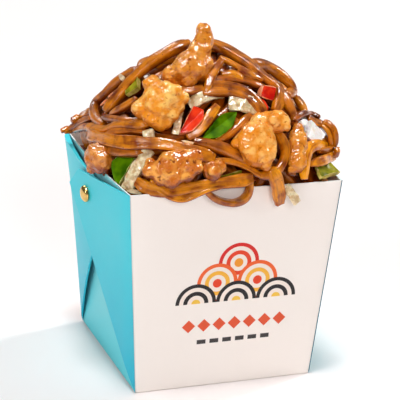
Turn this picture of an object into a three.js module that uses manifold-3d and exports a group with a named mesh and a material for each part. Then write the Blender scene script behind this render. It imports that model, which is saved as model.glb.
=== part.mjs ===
// A noodle takeaway box: a tapered card carton with its corner webs folded flat over the two
// side panels and held by a brass rivet each, heaped with stir-fried noodles, chicken, peppers
// and onion. Millimetres, +Z up. The origin is the middle of the carton's underside, +X runs
// along the front panel and the front faces -Y.

import * as THREE from 'three';
import { mergeVertices } from 'three/addons/utils/BufferGeometryUtils.js';
import Module from 'manifold-3d';

const wasm = await Module();
wasm.setup();

// ---- driving sizes -------------------------------------------------------------------------

const GAP = 0.3; // clearance between neighbouring pieces

const BASE_WIDTH = 88.5; // along X
const RIM_WIDTH = 103.5;
const BASE_DEPTH = 89; // along Y
const RIM_DEPTH = 101;
const CARTON_HEIGHT = 100;
const CARD = 0.6; // wall thickness
const SIDE_BOW = 1.6; // how far the side panels belly out at the rim

const WEB_PLY = 0.9; // a folded web is two layers of card
const WEB_FOLD_LENGTH = 107.5; // along the diagonal fold, from the bottom corner
const WEB_TOP_RUN = 59; // along the web's top edge, away from its corner
const WEB_TOP_DIP = 8.2; // degrees that the top edge falls towards the middle
const FRONT_WEB_SWING = 6.3; // degrees that the outer web springs away from the side panel
const BACK_WEB_RISE = 3.5; // how far the inner web arches away from the side panel
const BACK_WEB_PEAK = 42; // distance of that arch's top from the corner

const RIVET_SLANT = 86; // up the side panel, on its middle line
const RIVET_HEAD_RADIUS = 4;
const RIVET_HEAD_RISE = 1.3;
const RIVET_SHANK_RADIUS = 1.4;
const RIVET_INNER_RADIUS = 2.6;
const RIVET_INNER_PLY = 0.5;

const HEAP_HALF_WIDTH = 57; // of the mound's foot, past the carton's walls, which cut it
const HEAP_HALF_DEPTH = 56;
const HEAP_FOOT = 96; // height of the mound's foot, just under the rim
const HEAP_RISE = 61; // from the foot to the crown
const HEAP_SQUARENESS = 3.2; // 2 is an oval mound, more follows the square carton
const HEAP_FULLNESS = 0.88;
const DIP_X = 18; // a shallow dip to the right of the crown
const DIP_Y = 14;
const DIP_REACH = 22;
const DIP_DEPTH = 3.3;
const LUMP_RISE = 1.8; // unevenness of the mound
const LUMP_LENGTH = 23;

const CHICKEN_WAVE = 0.1; // unevenness of a piece of chicken, as a share of its size

const NOODLE_WIDTH = 6.4;
const NOODLE_THICKNESS = 4.6;
const NOODLE_STEP = 22; // between the cross sections of a modelled noodle

// ---- solids and meshes ---------------------------------------------------------------------

const UP = new THREE.Vector3(0, 0, 1);
const DEGREE = Math.PI / 180;

function toSolid(geometry) {
  const bare = geometry.clone();
  bare.deleteAttribute('normal');
  bare.deleteAttribute('uv');
  const merged = mergeVertices(bare, 1e-4);
  const vertProperties = new Float32Array(merged.attributes.position.array);
  const triVerts = new Uint32Array(merged.index.array);
  return new wasm.Manifold(new wasm.Mesh({ numProp: 3, vertProperties, triVerts }));
}

function toGeometry(solid) {
  const mesh = solid.getMesh();
  const geometry = new THREE.BufferGeometry();
  geometry.setAttribute('position', new THREE.BufferAttribute(mesh.vertProperties, 3));
  geometry.setIndex(new THREE.BufferAttribute(mesh.triVerts, 1));
  geometry.computeVertexNormals();
  return geometry;
}

// Moves every vertex of a geometry by a function of its place.
function reshape(geometry, move) {
  const positions = geometry.attributes.position;
  const point = new THREE.Vector3();
  for (let index = 0; index < positions.count; index += 1) {
    point.fromBufferAttribute(positions, index);
    move(point);
    positions.setXYZ(index, point.x, point.y, point.z);
  }
  return geometry;
}

function finish(color, roughness, metalness = 0) {
  return new THREE.MeshStandardMaterial({ color, roughness, metalness });
}

const FINISHES = {
  card: finish(0xf2e9e3, 0.55),
  brass: finish(0xd9b56a, 0.25, 1),
  noodle: finish(0xb4601a, 0.35),
  chicken: finish(0xe0a050, 0.45),
  pepperGreen: finish(0x4f8f1c, 0.3),
  pepperRed: finish(0xdd2412, 0.3),
  onion: finish(0xe6dcb8, 0.4),
};

// ---- carton --------------------------------------------------------------------------------

function halfWidthAt(z) {
  return THREE.MathUtils.lerp(BASE_WIDTH, RIM_WIDTH, z / CARTON_HEIGHT) / 2;
}

function halfDepthAt(z) {
  return THREE.MathUtils.lerp(BASE_DEPTH, RIM_DEPTH, z / CARTON_HEIGHT) / 2;
}

// A block with the carton's taper and side bow between two heights, inset from its outside.
function taperedBlock(lowZ, highZ, inset) {
  const block = new THREE.BoxGeometry(2, 2, 1, 1, 4, 3);
  return reshape(block, (point) => {
    const z = THREE.MathUtils.lerp(lowZ, highZ, point.z + 0.5);
    const bow = SIDE_BOW * (1 - point.y ** 2) * Math.min(1.2, Math.max(0, z / CARTON_HEIGHT)) ** 2;
    point.x *= halfWidthAt(z) - inset + bow;
    point.y *= halfDepthAt(z) - inset;
    point.z = z;
  });
}

// The side panel's own frame at one bottom corner: up its corner edge, in along the panel, and
// out of the panel. side is -1 on the left, end is -1 at the front.
function cornerFrame(side, end) {
  const foot = new THREE.Vector3(side * halfWidthAt(0), end * halfDepthAt(0), 0);
  const head = new THREE.Vector3(side * RIM_WIDTH / 2, end * RIM_DEPTH / 2, CARTON_HEIGHT);
  const edge = head.clone().sub(foot);
  const edgeLength = edge.length();
  const up = edge.normalize();
  const level = new THREE.Vector3(0, -end, 0);
  const out = new THREE.Vector3().crossVectors(level, up).multiplyScalar(-side * end).normalize();
  const inward = level.addScaledVector(up, -level.dot(up)).normalize();
  return { foot, edgeLength, up, inward, out };
}

// Half of the angle that the base and the two panels leave for a corner's folded web.
function webHalfAngle() {
  const frontLean = Math.atan((RIM_WIDTH - BASE_WIDTH) / 2 / CARTON_HEIGHT);
  const sideLean = Math.atan((RIM_DEPTH - BASE_DEPTH) / 2 / CARTON_HEIGHT);
  return (Math.PI / 2 - frontLean - sideLean) / 2;
}

// A folded web: four corners, from the bottom corner up the carton's edge, along the dipping
// top edge, and back down the diagonal fold. liftAt gives its distance from the side panel.
function web(side, end, liftAt) {
  const { foot, edgeLength, up, inward, out } = cornerFrame(side, end);
  const halfAngle = webHalfAngle();
  const rimCorner = [0, edgeLength];
  const topEnd = [WEB_TOP_RUN, edgeLength - WEB_TOP_RUN * Math.tan(WEB_TOP_DIP * DEGREE)];
  const foldTip = [WEB_FOLD_LENGTH * Math.sin(halfAngle), WEB_FOLD_LENGTH * Math.cos(halfAngle)];
  const plate = new THREE.BoxGeometry(1, 1, 1, 6, 2, 1);
  reshape(plate, (point) => {
    const along = point.x + 0.5;
    const high = point.y + 0.5;
    const run = along * THREE.MathUtils.lerp(foldTip[0], topEnd[0], high);
    const rise = THREE.MathUtils.lerp(
      foldTip[1] * along,
      THREE.MathUtils.lerp(rimCorner[1], topEnd[1], along),
      high,
    );
    const depth = liftAt(run) + (point.z > 0 ? WEB_PLY : -GAP);
    point.copy(foot);
    point.addScaledVector(up, rise);
    point.addScaledVector(inward, run);
    point.addScaledVector(out, depth);
    point.z = Math.max(0, point.z);
  });
  if (side * end < 0) {
    return toSolid(plate);
  }
  plate.index.array.reverse();
  return toSolid(plate);
}

function frontWebLift(run) {
  return run * Math.tan(FRONT_WEB_SWING * DEGREE);
}

function backWebLift(run) {
  return BACK_WEB_RISE * (1 - ((run - BACK_WEB_PEAK) / BACK_WEB_PEAK) ** 2);
}

// A lathe turned about the rivet's axis, which stands square to the side panel.
function placeOnSidePanel(mesh, side) {
  const { up } = cornerFrame(side, -1);
  const panelUp = new THREE.Vector3(up.x, 0, up.z).normalize();
  const out = new THREE.Vector3(0, 1, 0).cross(panelUp).multiplyScalar(side).normalize();
  mesh.position.set(side * halfWidthAt(0), 0, 0);
  mesh.position.addScaledVector(panelUp, RIVET_SLANT);
  mesh.quaternion.setFromUnitVectors(UP, out);
  mesh.updateMatrix();
  return mesh;
}

function rivetHole(side) {
  const drill = new THREE.CylinderGeometry(RIVET_SHANK_RADIUS + GAP, RIVET_SHANK_RADIUS + GAP, 30, 16);
  drill.rotateX(Math.PI / 2);
  const mesh = placeOnSidePanel(new THREE.Mesh(drill), side);
  return toSolid(drill.applyMatrix4(mesh.matrix));
}

function makeCarton() {
  let carton = toSolid(taperedBlock(0, CARTON_HEIGHT, 0));
  carton = carton.subtract(toSolid(taperedBlock(CARD, CARTON_HEIGHT * 1.1, CARD)));
  for (const side of [-1, 1]) {
    carton = carton.add(web(side, -1, frontWebLift));
    carton = carton.add(web(side, 1, backWebLift));
    carton = carton.subtract(rivetHole(side));
  }
  return carton;
}

// A rivet seen in section: a domed head outside the webs, a shank, and a flat ring inside.
function rivetGeometry() {
  const headSeat = frontWebLift(halfDepthAt(RIVET_SLANT) + RIVET_HEAD_RADIUS) + WEB_PLY + GAP;
  const innerSeat = SIDE_BOW * (RIVET_SLANT / CARTON_HEIGHT) ** 2 - CARD - 2 * GAP;
  const section = [new THREE.Vector2(0, innerSeat - RIVET_INNER_PLY)];
  section.push(new THREE.Vector2(RIVET_INNER_RADIUS, innerSeat - RIVET_INNER_PLY));
  section.push(new THREE.Vector2(RIVET_INNER_RADIUS, innerSeat));
  section.push(new THREE.Vector2(RIVET_SHANK_RADIUS, innerSeat));
  section.push(new THREE.Vector2(RIVET_SHANK_RADIUS, headSeat));
  section.push(new THREE.Vector2(RIVET_HEAD_RADIUS, headSeat));
  for (const turn of [0, 45, 90]) {
    const across = RIVET_HEAD_RADIUS * Math.cos(turn * DEGREE);
    const high = headSeat + 0.3 + (RIVET_HEAD_RISE - 0.3) * Math.sin(turn * DEGREE);
    section.push(new THREE.Vector2(turn === 90 ? 0 : across, high));
  }
  const lathe = new THREE.LatheGeometry(section, 10);
  lathe.rotateX(Math.PI / 2);
  return lathe;
}

// ---- heap of noodles -----------------------------------------------------------------------

// How far a place lies from the middle of the heap, counted so that the mound's foot is 1.
function heapReach(x, y) {
  const across = Math.abs(x / HEAP_HALF_WIDTH) ** HEAP_SQUARENESS;
  const deep = Math.abs(y / HEAP_HALF_DEPTH) ** HEAP_SQUARENESS;
  return (across + deep) ** (1 / HEAP_SQUARENESS);
}

function heapTop(x, y) {
  const reach = Math.min(1, heapReach(x, y));
  const dip = DIP_DEPTH * Math.exp(-((x - DIP_X) ** 2 + (y - DIP_Y) ** 2) / DIP_REACH ** 2);
  return HEAP_FOOT + HEAP_RISE * (1 - reach ** 2) ** HEAP_FULLNESS - dip;
}

function heapNormal(x, y) {
  const step = 2;
  const slopeX = (heapTop(x + step, y) - heapTop(x - step, y)) / (2 * step);
  const slopeY = (heapTop(x, y + step) - heapTop(x, y - step)) / (2 * step);
  return new THREE.Vector3(-slopeX, -slopeY, 1).normalize();
}

// The mound itself: a lathe of unit radius whose rings are pulled out to the square outline.
function mound() {
  const rings = 7;
  const reachLimit = 1.3; // past the foot, so that the carton's corners are filled too
  const section = [new THREE.Vector2(0, 0), new THREE.Vector2(reachLimit, 0)];
  for (let ring = rings; ring >= 0; ring -= 1) {
    section.push(new THREE.Vector2((reachLimit * ring) / rings, 1));
  }
  const lathe = new THREE.LatheGeometry(section, 24);
  lathe.rotateX(Math.PI / 2);
  return reshape(lathe, (point) => {
    const radius = Math.hypot(point.x, point.y);
    const pull = radius > 1e-6 ? radius / heapReach(point.x, point.y) : 0;
    const x = point.x * pull;
    const y = point.y * pull;
    const waveX = Math.sin((x * 2 * Math.PI + y) / LUMP_LENGTH);
    const waveY = Math.cos((y * 2 * Math.PI - x) / LUMP_LENGTH);
    const top = heapTop(x, y) - NOODLE_THICKNESS / 2 + LUMP_RISE * waveX * waveY;
    point.set(x, y, point.z > 0.5 ? top : -1);
  });
}

// One noodle along a curve. Its points are [x, y, height over the mound], or past the rim
// [x, y, null, z] with a height of their own. Its section is a flattened round.
function noodle(points) {
  const corners = points.map(([x, y, lift, z]) => new THREE.Vector3(x, y, z ?? heapTop(x, y) + lift));
  const extrudePath = new THREE.CatmullRomCurve3(corners, false, 'centripetal');
  const section = new THREE.Shape();
  section.absellipse(0, 0, NOODLE_THICKNESS / 2, NOODLE_WIDTH / 2, 0, 2 * Math.PI);
  const steps = Math.max(4, Math.round(extrudePath.getLength() / NOODLE_STEP));
  return toSolid(new THREE.ExtrudeGeometry(section, { extrudePath, steps, curveSegments: 3 }));
}

// The noodles that make the heap's outline.
const OUTLINE_NOODLES = [
  // over the crown and down the left
  [[-9, -6, 0], [-20, 2, 1], [-28, 6, 1], [-36, 20, 2], [-44, 28, 3], [-48, 25, 1], [-48, 12, 1]],
  // over the crown and down the right
  [[-2, -10, 0], [6, -16, 2], [13, -23, 3], [21, -27, 2], [27, -28, 2], [27, -33, 1]],
  [[14, -18, 1], [26, -14, 3], [34, -17, 5], [38, -21, 4], [38, -25, 1]],
  // across the front
  [[-51, 17, 2], [-48, -14, 3], [-42, -33, 3], [-32, -42, 3], [-21, -45, 2], [-11, -48, 1]],
  // along the front rim, and in loops over it
  [[-43, -42, 1], [-39, -49, null, 104], [-31, -53.5, null, 102], [-19, -54.5, null, 101],
    [-6, -53.5, null, 104], [5, -50, 1]],
  [[-14, -50, null, 105], [-12, -54.5, null, 98], [-6, -55.5, null, 94.5], [0, -55.2, null, 97],
    [3, -52, null, 104], [4, -47, 0]],
  [[17, -46, 0], [17, -51.5, null, 104.5], [17, -54.7, null, 99], [17, -55.2, null, 92.5]],
  // round the piece of chicken at the front
  [[-11, -48, 1], [-3, -49, 2], [6, -51, null, 108.5], [14, -51.5, null, 106],
    [20, -50, null, 108], [24, -47, 1], [24, -43, 0]],
  // the loops at the right
  [[44, -26, 0], [48, -31, 4], [50, -35, 6], [49, -39, 7], [45, -40, 3]],
  [[31, -46, 1], [34, -45, 4], [40, -41, 4], [47, -36, 3], [49, -30, 2], [46, -22, 0]],
  // the ends at the back left corner
  [[-58, 41, null, 105.5], [-50, 34, null, 109], [-44, 12, 1]],
  [[-53, 37, null, 111], [-47, 31, 1], [-42, 26, 0]],
  // over the back and the right
  [[2, 12, -3], [-4, 28, 1], [-16, 40, 2], [-30, 44, 1]],
  [[18, 10, -3], [30, 18, 2], [40, 32, 3], [40, 42, 1]],
  [[-38, 46, null, 105], [-20, 52.5, null, 103], [2, 53, null, 102.5], [20, 47, 2]],
  [[50, -18, 1], [55, -6, null, 103.5], [54, 12, null, 104], [49, 24, 2]],
];

// A wall ring a little thicker than the carton's walls, which keeps food clear of them.
function wallRoom() {
  const outer = toSolid(taperedBlock(-1, CARTON_HEIGHT + GAP, -GAP));
  return outer.subtract(toSolid(taperedBlock(CARD + GAP, CARTON_HEIGHT * 1.1, CARD + GAP)));
}

// Room in the heap for the flat inner end of a rivet.
function rivetPocket(side) {
  const radius = RIVET_INNER_RADIUS + 3 * GAP;
  const pocket = new THREE.CylinderGeometry(radius, radius, 6, 10);
  pocket.rotateX(Math.PI / 2);
  const mesh = placeOnSidePanel(new THREE.Mesh(pocket), side);
  return toSolid(pocket.applyMatrix4(mesh.matrix));
}

function makeHeap(foodRoom) {
  const fill = toSolid(taperedBlock(CARD + GAP, 1.7 * CARTON_HEIGHT, CARD + GAP));
  let heap = toSolid(mound()).intersect(fill);
  for (const points of OUTLINE_NOODLES) {
    heap = heap.add(noodle(points));
  }
  heap = heap.subtract(wallRoom());
  for (const room of [rivetPocket(-1), rivetPocket(1), ...foodRoom]) {
    heap = heap.subtract(room);
  }
  const bodies = heap.decompose();
  bodies.sort((one, other) => other.volume() - one.volume());
  return bodies[0];
}

// ---- pieces of food on the heap ------------------------------------------------------------

// A blocky ball of radius 1 with an uneven surface.
function lump(seed, detail) {
  return reshape(new THREE.IcosahedronGeometry(1, detail), (point) => {
    const cubes = Math.abs(point.x) ** 3 + Math.abs(point.y) ** 3 + Math.abs(point.z) ** 3;
    const waveA = Math.sin(4.1 * point.x + seed) * Math.cos(3.3 * point.y - seed);
    const waveB = Math.sin(5.3 * point.z + 2 * seed);
    point.multiplyScalar((1 + CHICKEN_WAVE * (waveA + waveB) / 2) / Math.cbrt(cubes));
  });
}

// The six-sided block that such a ball fits into.
function lumpRoom() {
  const block = new THREE.CylinderGeometry(1.33, 1.33, 2.3, 6);
  return block.rotateX(Math.PI / 2).rotateZ(Math.PI / 6);
}

// A piece of chicken, made of one to three lobes, each [width, height, depth, x, y, z]. With
// room above 0 it is the plainer, larger space round it.
function chicken(lobes, seed, room) {
  let whole = null;
  for (const [width, height, depth, x, y, z] of lobes) {
    const lobe = room > 0 ? lumpRoom() : lump(seed, width < 18 ? 1 : 2);
    lobe.scale(width / 2 + room, height / 2 + room, depth / 2 + room);
    lobe.translate(x, y, z);
    whole = whole ? whole.add(toSolid(lobe)) : toSolid(lobe);
  }
  return whole;
}

// A cut of pepper wall: a four-cornered outline with swelling sides, rolled about its width.
// With room above 0 it is a plain slab that holds the cut and its roll.
function pepper(corners, thickness, rollRadius, room) {
  const outline = new THREE.Shape();
  const grown = corners.map(([x, y]) => {
    const away = 1 + (4 * room) / Math.hypot(x, y);
    return [x * away, y * away];
  });
  const last = grown[grown.length - 1];
  outline.moveTo(last[0], last[1]);
  let before = last;
  for (const corner of grown) {
    const swellX = (corner[0] + before[0]) * 0.52;
    const swellY = (corner[1] + before[1]) * 0.52;
    outline.quadraticCurveTo(swellX, swellY, corner[0], corner[1]);
    before = corner;
  }
  const roll = Math.max(...corners.map(([x]) => x ** 2)) / (2 * rollRadius);
  const depth = thickness + 2 * room + (room > 0 ? roll : 0);
  const curveSegments = room > 0 ? 1 : 2;
  const slab = new THREE.ExtrudeGeometry(outline, { depth, bevelEnabled: false, curveSegments });
  slab.translate(0, 0, thickness / 2 + room - depth);
  return toSolid(reshape(slab, (point) => {
    point.z -= room > 0 ? 0 : point.x ** 2 / (2 * rollRadius);
  }));
}

// A strip of onion or cabbage, bent to an arc along its length and twisted.
function strip(length, width, thickness, arc, twist, room) {
  const spare = 4 * room;
  const parts = room > 0 ? 4 : 6;
  const ribbon = new THREE.BoxGeometry(length + spare, width + spare, thickness + spare, parts, 1, 1);
  const radius = length / (arc * DEGREE);
  return toSolid(reshape(ribbon, (point) => {
    const turn = (point.x / length) * twist * DEGREE;
    const angle = point.x / radius;
    const y = point.y * Math.cos(turn) - point.z * Math.sin(turn);
    const off = point.y * Math.sin(turn) + point.z * Math.cos(turn);
    point.x = (radius + off) * Math.sin(angle);
    point.z = (radius + off) * Math.cos(angle) - radius;
    point.y = y;
  }));
}

// The tall piece of chicken on the crown: a thick foot that narrows to a stalk.
const CHICKEN_5_LOBES = [
  [17.5, 13.5, 13, -4.2, -1.6, -0.5],
  [9, 8, 9, 0.5, -6.5, -1],
  [8, 8.5, 8, -10.3, 1.2, -1.4],
  [10, 10, 9, 4.8, -2.7, 3],
  [8.5, 8.5, 9, 9.1, -2.7, 5.5],
  [7.5, 7.5, 8, 12, -1.2, 8.2],
];

// Each piece's place is [x, y, lift over the heap], or [x, y, null, z]. It lies along the heap's
// surface there, spin turns it about the surface's normal, and tilt stands it up.
const FOOD = [
  { name: 'chicken_1', finish: 'chicken', place: [-30, -28, 4], spin: 20,
    make: (room) => chicken([[18.6, 17.5, 14, 0.2, -0.3, 0],
      [9.5, 9, 8, -7.5, -4.5, -1], [9, 9, 8, -7.5, 5, 1]], 1, room) },
  { name: 'chicken_2', finish: 'chicken', place: [8, -47, 3], spin: 0,
    make: (room) => chicken([[20, 22, 14, -1, 1.2, 0], [11, 10.5, 9, 10.5, 11.2, 3]], 2, room) },
  { name: 'chicken_3', finish: 'chicken', place: [-29, -46.5, 3.5], spin: -4,
    make: (room) => chicken([[21, 13.5, 12, 0, -2, 0],
      [13, 9, 9, 6, 0, 1], [9, 9, 8, -9, -2, 0]], 3, room) },
  { name: 'chicken_4', finish: 'chicken', place: [-54.2, -14.2, null, 106.6], spin: 84,
    make: (room) => chicken([[17.5, 13, 13, 0.4, 0, 0.5], [8.2, 8.5, 8, 6.5, -2.2, -0.3]], 4, room) },
  { name: 'chicken_5', finish: 'chicken', place: [-14, -18, 3], spin: 42,
    make: (room) => chicken(CHICKEN_5_LOBES, 5, room) },
  { name: 'chicken_6', finish: 'chicken', place: [-13, -50.3, 2.2], spin: 10,
    make: (room) => chicken([[11, 8, 7, 0, 0, 0]], 6, room) },
  { name: 'chicken_7', finish: 'chicken', place: [28.7, -45.8, 2.2], spin: 0,
    make: (room) => chicken([[9, 13, 9, 0.5, 4.5, 0], [9, 12, 8, -0.5, -4.5, -0.3]], 7, room) },
  { name: 'chicken_8', finish: 'chicken', place: [43, 9, 2], spin: 30,
    make: (room) => chicken([[16.5, 15, 12, 0, 0, 0], [10, 9, 8, 8, 5, 0]], 8, room) },
  { name: 'chicken_9', finish: 'chicken', place: [-14, 41, 1], spin: -35,
    make: (room) => chicken([[16.5, 17, 13, 0, 0, 0], [10, 11, 8, -7, -6, 1]], 9, room) },
  { name: 'chicken_10', finish: 'chicken', place: [26, 38, 3], spin: 60,
    make: (room) => chicken([[16, 15, 12, 0, 0, 0], [9, 9, 8, 7, 5, 0]], 10, room) },
  { name: 'pepper_green_1', finish: 'pepperGreen', place: [-48.4, -30.8, null, 106.9], spin: 42,
    make: (room) => pepper([[-8.3, 2.8], [-0.6, -4], [7.6, -7.2], [8.1, 0.4], [3.5, 8.1], [-3.2, 6.1]], 2.2, 22, room) },
  { name: 'pepper_green_2', finish: 'pepperGreen', place: [-6, -41.5, 3], spin: 0,
    make: (room) => pepper([[-11, -4.8], [-3.5, -5.4], [4, -0.5], [7.5, 6.2], [-1, 5.2]], 2.2, 20, room) },
  { name: 'pepper_green_3', finish: 'pepperGreen', place: [-35, -3, 2], spin: 60,
    make: (room) => pepper([[-5, -4], [5, -3], [5, 4], [-4, 4]], 2.2, 16, room) },
  { name: 'pepper_green_4', finish: 'pepperGreen', place: [46.4, -45.6, null, 104.9], spin: 34,
    make: (room) => pepper([[-9, -3], [7.5, -3.5], [7.5, 3.2], [-6.5, 3.5]], 1.8, 20, room) },
  { name: 'pepper_green_5', finish: 'pepperGreen', place: [-5.6, -51.9, null, 106], spin: 14,
    make: (room) => pepper([[-9, -1.6], [5, -1.4], [7, 1], [-6, 1.8]], 1.6, 40, room) },
  { name: 'pepper_green_6', finish: 'pepperGreen', place: [8, 42, 2], spin: -30,
    make: (room) => pepper([[-8, -4], [6, -5], [8, 5], [-6, 5]], 2.2, 20, room) },
  { name: 'pepper_green_7', finish: 'pepperGreen', place: [41, 36, 2], spin: 80,
    make: (room) => pepper([[-7, -4], [7, -4], [6, 5], [-5, 4]], 2.2, 18, room) },
  { name: 'pepper_red_1', finish: 'pepperRed', place: [-20.6, -38.2, 3.5], spin: 35,
    make: (room) => pepper([[-8, -0.5], [-4, -4.4], [4.2, -4.2], [8, -1.5], [6, 3]], 2.6, 12, room) },
  { name: 'pepper_red_2', finish: 'pepperRed', place: [18, -31.5, 2.5], spin: 0, tilt: 30,
    make: (room) => pepper([[-4, -2.6], [3, -3.6], [4, 2.6], [-3.2, 2.8]], 4, 30, room) },
  { name: 'pepper_red_3', finish: 'pepperRed', place: [50, -3, 1], spin: 25,
    make: (room) => pepper([[-6, -4], [6, -5], [6, 4], [-5, 5]], 2.6, 14, room) },
  { name: 'pepper_red_4', finish: 'pepperRed', place: [-33, 41, 2], spin: -20,
    make: (room) => pepper([[-6, -4], [6, -4], [5, 4], [-6, 4]], 2.6, 14, room) },
  { name: 'onion_1', finish: 'onion', place: [-46, -40.8, null, 109], spin: 22,
    make: (room) => strip(21.5, 6.2, 1.6, 40, 10, room) },
  { name: 'onion_2', finish: 'onion', place: [-39.7, -38.3, null, 122.9], spin: 70,
    make: (room) => strip(7, 5, 1.5, 20, 5, room) },
  { name: 'onion_3', finish: 'onion', place: [-11.3, -32.4, 1.5], spin: 15,
    make: (room) => strip(18, 5.5, 1.8, 70, 5, room) },
  { name: 'onion_4', finish: 'onion', place: [6.4, -35.9, 2.5], spin: -10,
    make: (room) => strip(15.5, 8, 1.8, 40, 5, room) },
  { name: 'onion_5', finish: 'onion', place: [40.5, -34.2, 2.6], spin: 82,
    make: (room) => strip(15, 9.5, 4.4, 60, 5, room) },
  { name: 'onion_6', finish: 'onion', place: [25, -54, null, 96.4], spin: -50,
    make: (room) => strip(10, 4.2, 1.4, 20, 5, room) },
  { name: 'onion_7', finish: 'onion', place: [-25.8, -36.8, -0.1], spin: 60,
    make: (room) => strip(11.5, 3.6, 1.2, 30, 5, room) },
  { name: 'onion_8', finish: 'onion', place: [34, 30, 1.5], spin: 40,
    make: (room) => strip(18, 7, 1.8, 60, 10, room) },
  { name: 'onion_9', finish: 'onion', place: [-43, 28, 2], spin: -40,
    make: (room) => strip(18, 6, 1.8, 50, 10, room) },
];

function placeFood(mesh, item) {
  const [x, y, lift, z] = item.place;
  const normal = heapNormal(x, y);
  mesh.position.set(x, y, z ?? heapTop(x, y)).addScaledVector(normal, lift ?? 0);
  mesh.quaternion.setFromUnitVectors(UP, normal);
  mesh.rotateZ(item.spin * DEGREE);
  mesh.rotateX((item.tilt ?? 0) * DEGREE);
  mesh.updateMatrix();
  return mesh;
}

// ---- assembly ------------------------------------------------------------------------------

const box = new THREE.Group();

function addPiece(name, geometry, material) {
  const mesh = new THREE.Mesh(geometry, material);
  mesh.name = name;
  box.add(mesh);
  return mesh;
}

addPiece('carton', toGeometry(makeCarton()), FINISHES.card);
placeOnSidePanel(addPiece('rivet_left', rivetGeometry(), FINISHES.brass), -1);
placeOnSidePanel(addPiece('rivet_right', rivetGeometry(), FINISHES.brass), 1);

const foodRoom = [];
for (const item of FOOD) {
  const mesh = addPiece(item.name, toGeometry(item.make(0)), FINISHES[item.finish]);
  placeFood(mesh, item);
  const space = toGeometry(item.make(GAP + 0.05)).applyMatrix4(mesh.matrix);
  foodRoom.push(toSolid(space));
}
addPiece('noodle_heap', toGeometry(makeHeap(foodRoom)), FINISHES.noodle);

export default box;
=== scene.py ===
"""The looks of a noodle takeaway box: its folded card carton and rivets, and the heap of soy-glazed
noodles, fried chicken, peppers and onion in it. Sizes below are in millimetres and become metres
when a mesh is made. The frame's origin is the middle of the carton's underside."""

import math

import bpy
import numpy as np
from mathutils import Matrix, Vector, noise


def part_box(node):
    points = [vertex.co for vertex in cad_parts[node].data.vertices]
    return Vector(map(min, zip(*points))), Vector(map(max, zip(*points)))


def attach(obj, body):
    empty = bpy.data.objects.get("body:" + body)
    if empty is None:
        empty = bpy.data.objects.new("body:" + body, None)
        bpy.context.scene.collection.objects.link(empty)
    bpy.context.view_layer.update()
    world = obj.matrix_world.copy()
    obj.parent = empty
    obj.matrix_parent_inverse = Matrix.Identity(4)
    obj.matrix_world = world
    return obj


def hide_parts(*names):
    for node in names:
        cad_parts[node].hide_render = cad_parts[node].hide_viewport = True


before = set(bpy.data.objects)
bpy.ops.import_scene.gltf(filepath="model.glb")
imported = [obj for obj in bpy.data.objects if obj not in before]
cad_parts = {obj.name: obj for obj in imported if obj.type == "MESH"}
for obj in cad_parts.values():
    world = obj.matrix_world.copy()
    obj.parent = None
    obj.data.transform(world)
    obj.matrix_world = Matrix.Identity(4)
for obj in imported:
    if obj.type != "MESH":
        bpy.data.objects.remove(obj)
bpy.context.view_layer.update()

MM = 0.001

# ---- sizes, in millimetres -------------------------------------------------------------------

BASE_WIDTH, RIM_WIDTH = 88.5, 103.5
BASE_DEPTH, RIM_DEPTH = 89.0, 101.0
CARTON_HEIGHT = 100.0
CARD = 0.6
SIDE_BOW = 1.6

CREASE = 0.9  # width of the rounded corner creases
PANEL_CUTS = 15
WEB_CREASE = 0.25
FLOOR_GAP = 0.05  # the webs' lowest tips clear the table

WEB_PLY = 0.9
THINNEST_PLY = 0.03  # at the hinge, as a share
FRONT_HINGE = 8.0  # from the corner edge to where a front web has its full thickness
WEB_FOLD_LENGTH = 107.5
WEB_TOP_RUN = 59.0
WEB_TOP_DIP = 8.2
FRONT_WEB_SWING = 6.3
BACK_WEB_RISE = 3.5
BACK_WEB_PEAK = 42.0
BACK_HINGE = 0.5
BACK_HINGE_BULGE = 2.0  # the back web's crease springs open at the top

RIVET_SLANT = 86.0
RIVET_RADIUS, RIVET_DOME = 4.0, 1.9
RIVET_EDGE, RIVET_STEPS, DOME_TURN = 0.3, 40, 15
SHANK_RADIUS, RING_RADIUS, RING_BEVEL, RING_THICKNESS = 1.3, 2.6, 0.2, 0.5
HEAD_STAND_OFF, RING_STAND_OFF = 0.2, 0.4

HEAP_HALF_WIDTH, HEAP_HALF_DEPTH = 59.0, 56.0
HEAP_FOOT, HEAP_RISE = 96.0, 60.0
HEAP_SQUARENESS, HEAP_FULLNESS = 3.2, 0.84
DIP_X, DIP_Y, DIP_REACH, DIP_DEPTH = 18.0, 14.0, 22.0, 3.3  # a shallow dip right of the crown
STEEP = 400.0  # fall of the surface past the heap's foot
HEAP_HEART = np.array((0.0, 0.0, 90.0))  # the heap bulges outwards from here
HEAP_REACH = 58.0  # from the heart to the heap's outline, about
SEARCH_REACH, SEARCH_HALVINGS = 95.0, 24  # how far and how finely a surface is looked for
CORE_DEPTH = 10.5  # of loose noodles over the core
CORE_SHRINK = 1.16
CORE_FOOT = 93.5
CORE_GAP = 0.2  # between the core and the board
CORE_GRID = 110
CORE_RIPPLES = ((1.1, 4), (0.7, 9))  # height and size of each
CORE_EDGE_FADE = 12  # the ripples fade out over the outermost twelfth
CORE_WALL, CORE_TAPER = 30.0, (0.955, 0.965, 1)
RIM_ROOM_X, RIM_ROOM_Y = 47.0, 46.0  # room inside the rim for the middle of a noodle
RIM_CLEAR, RIM_SPREAD = 102.0, 1.3  # above this height the room widens by so much a millimetre

NOODLE_WIDTH, NOODLE_THICKNESS = 6.2, 4.2
NOODLE_RINGS = 44
PATH_PLACES, CURVE_STEPS = 60, 16  # along a noodle's path, and between its points as it is drawn

# ---- camera ----------------------------------------------------------------------------------

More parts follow.
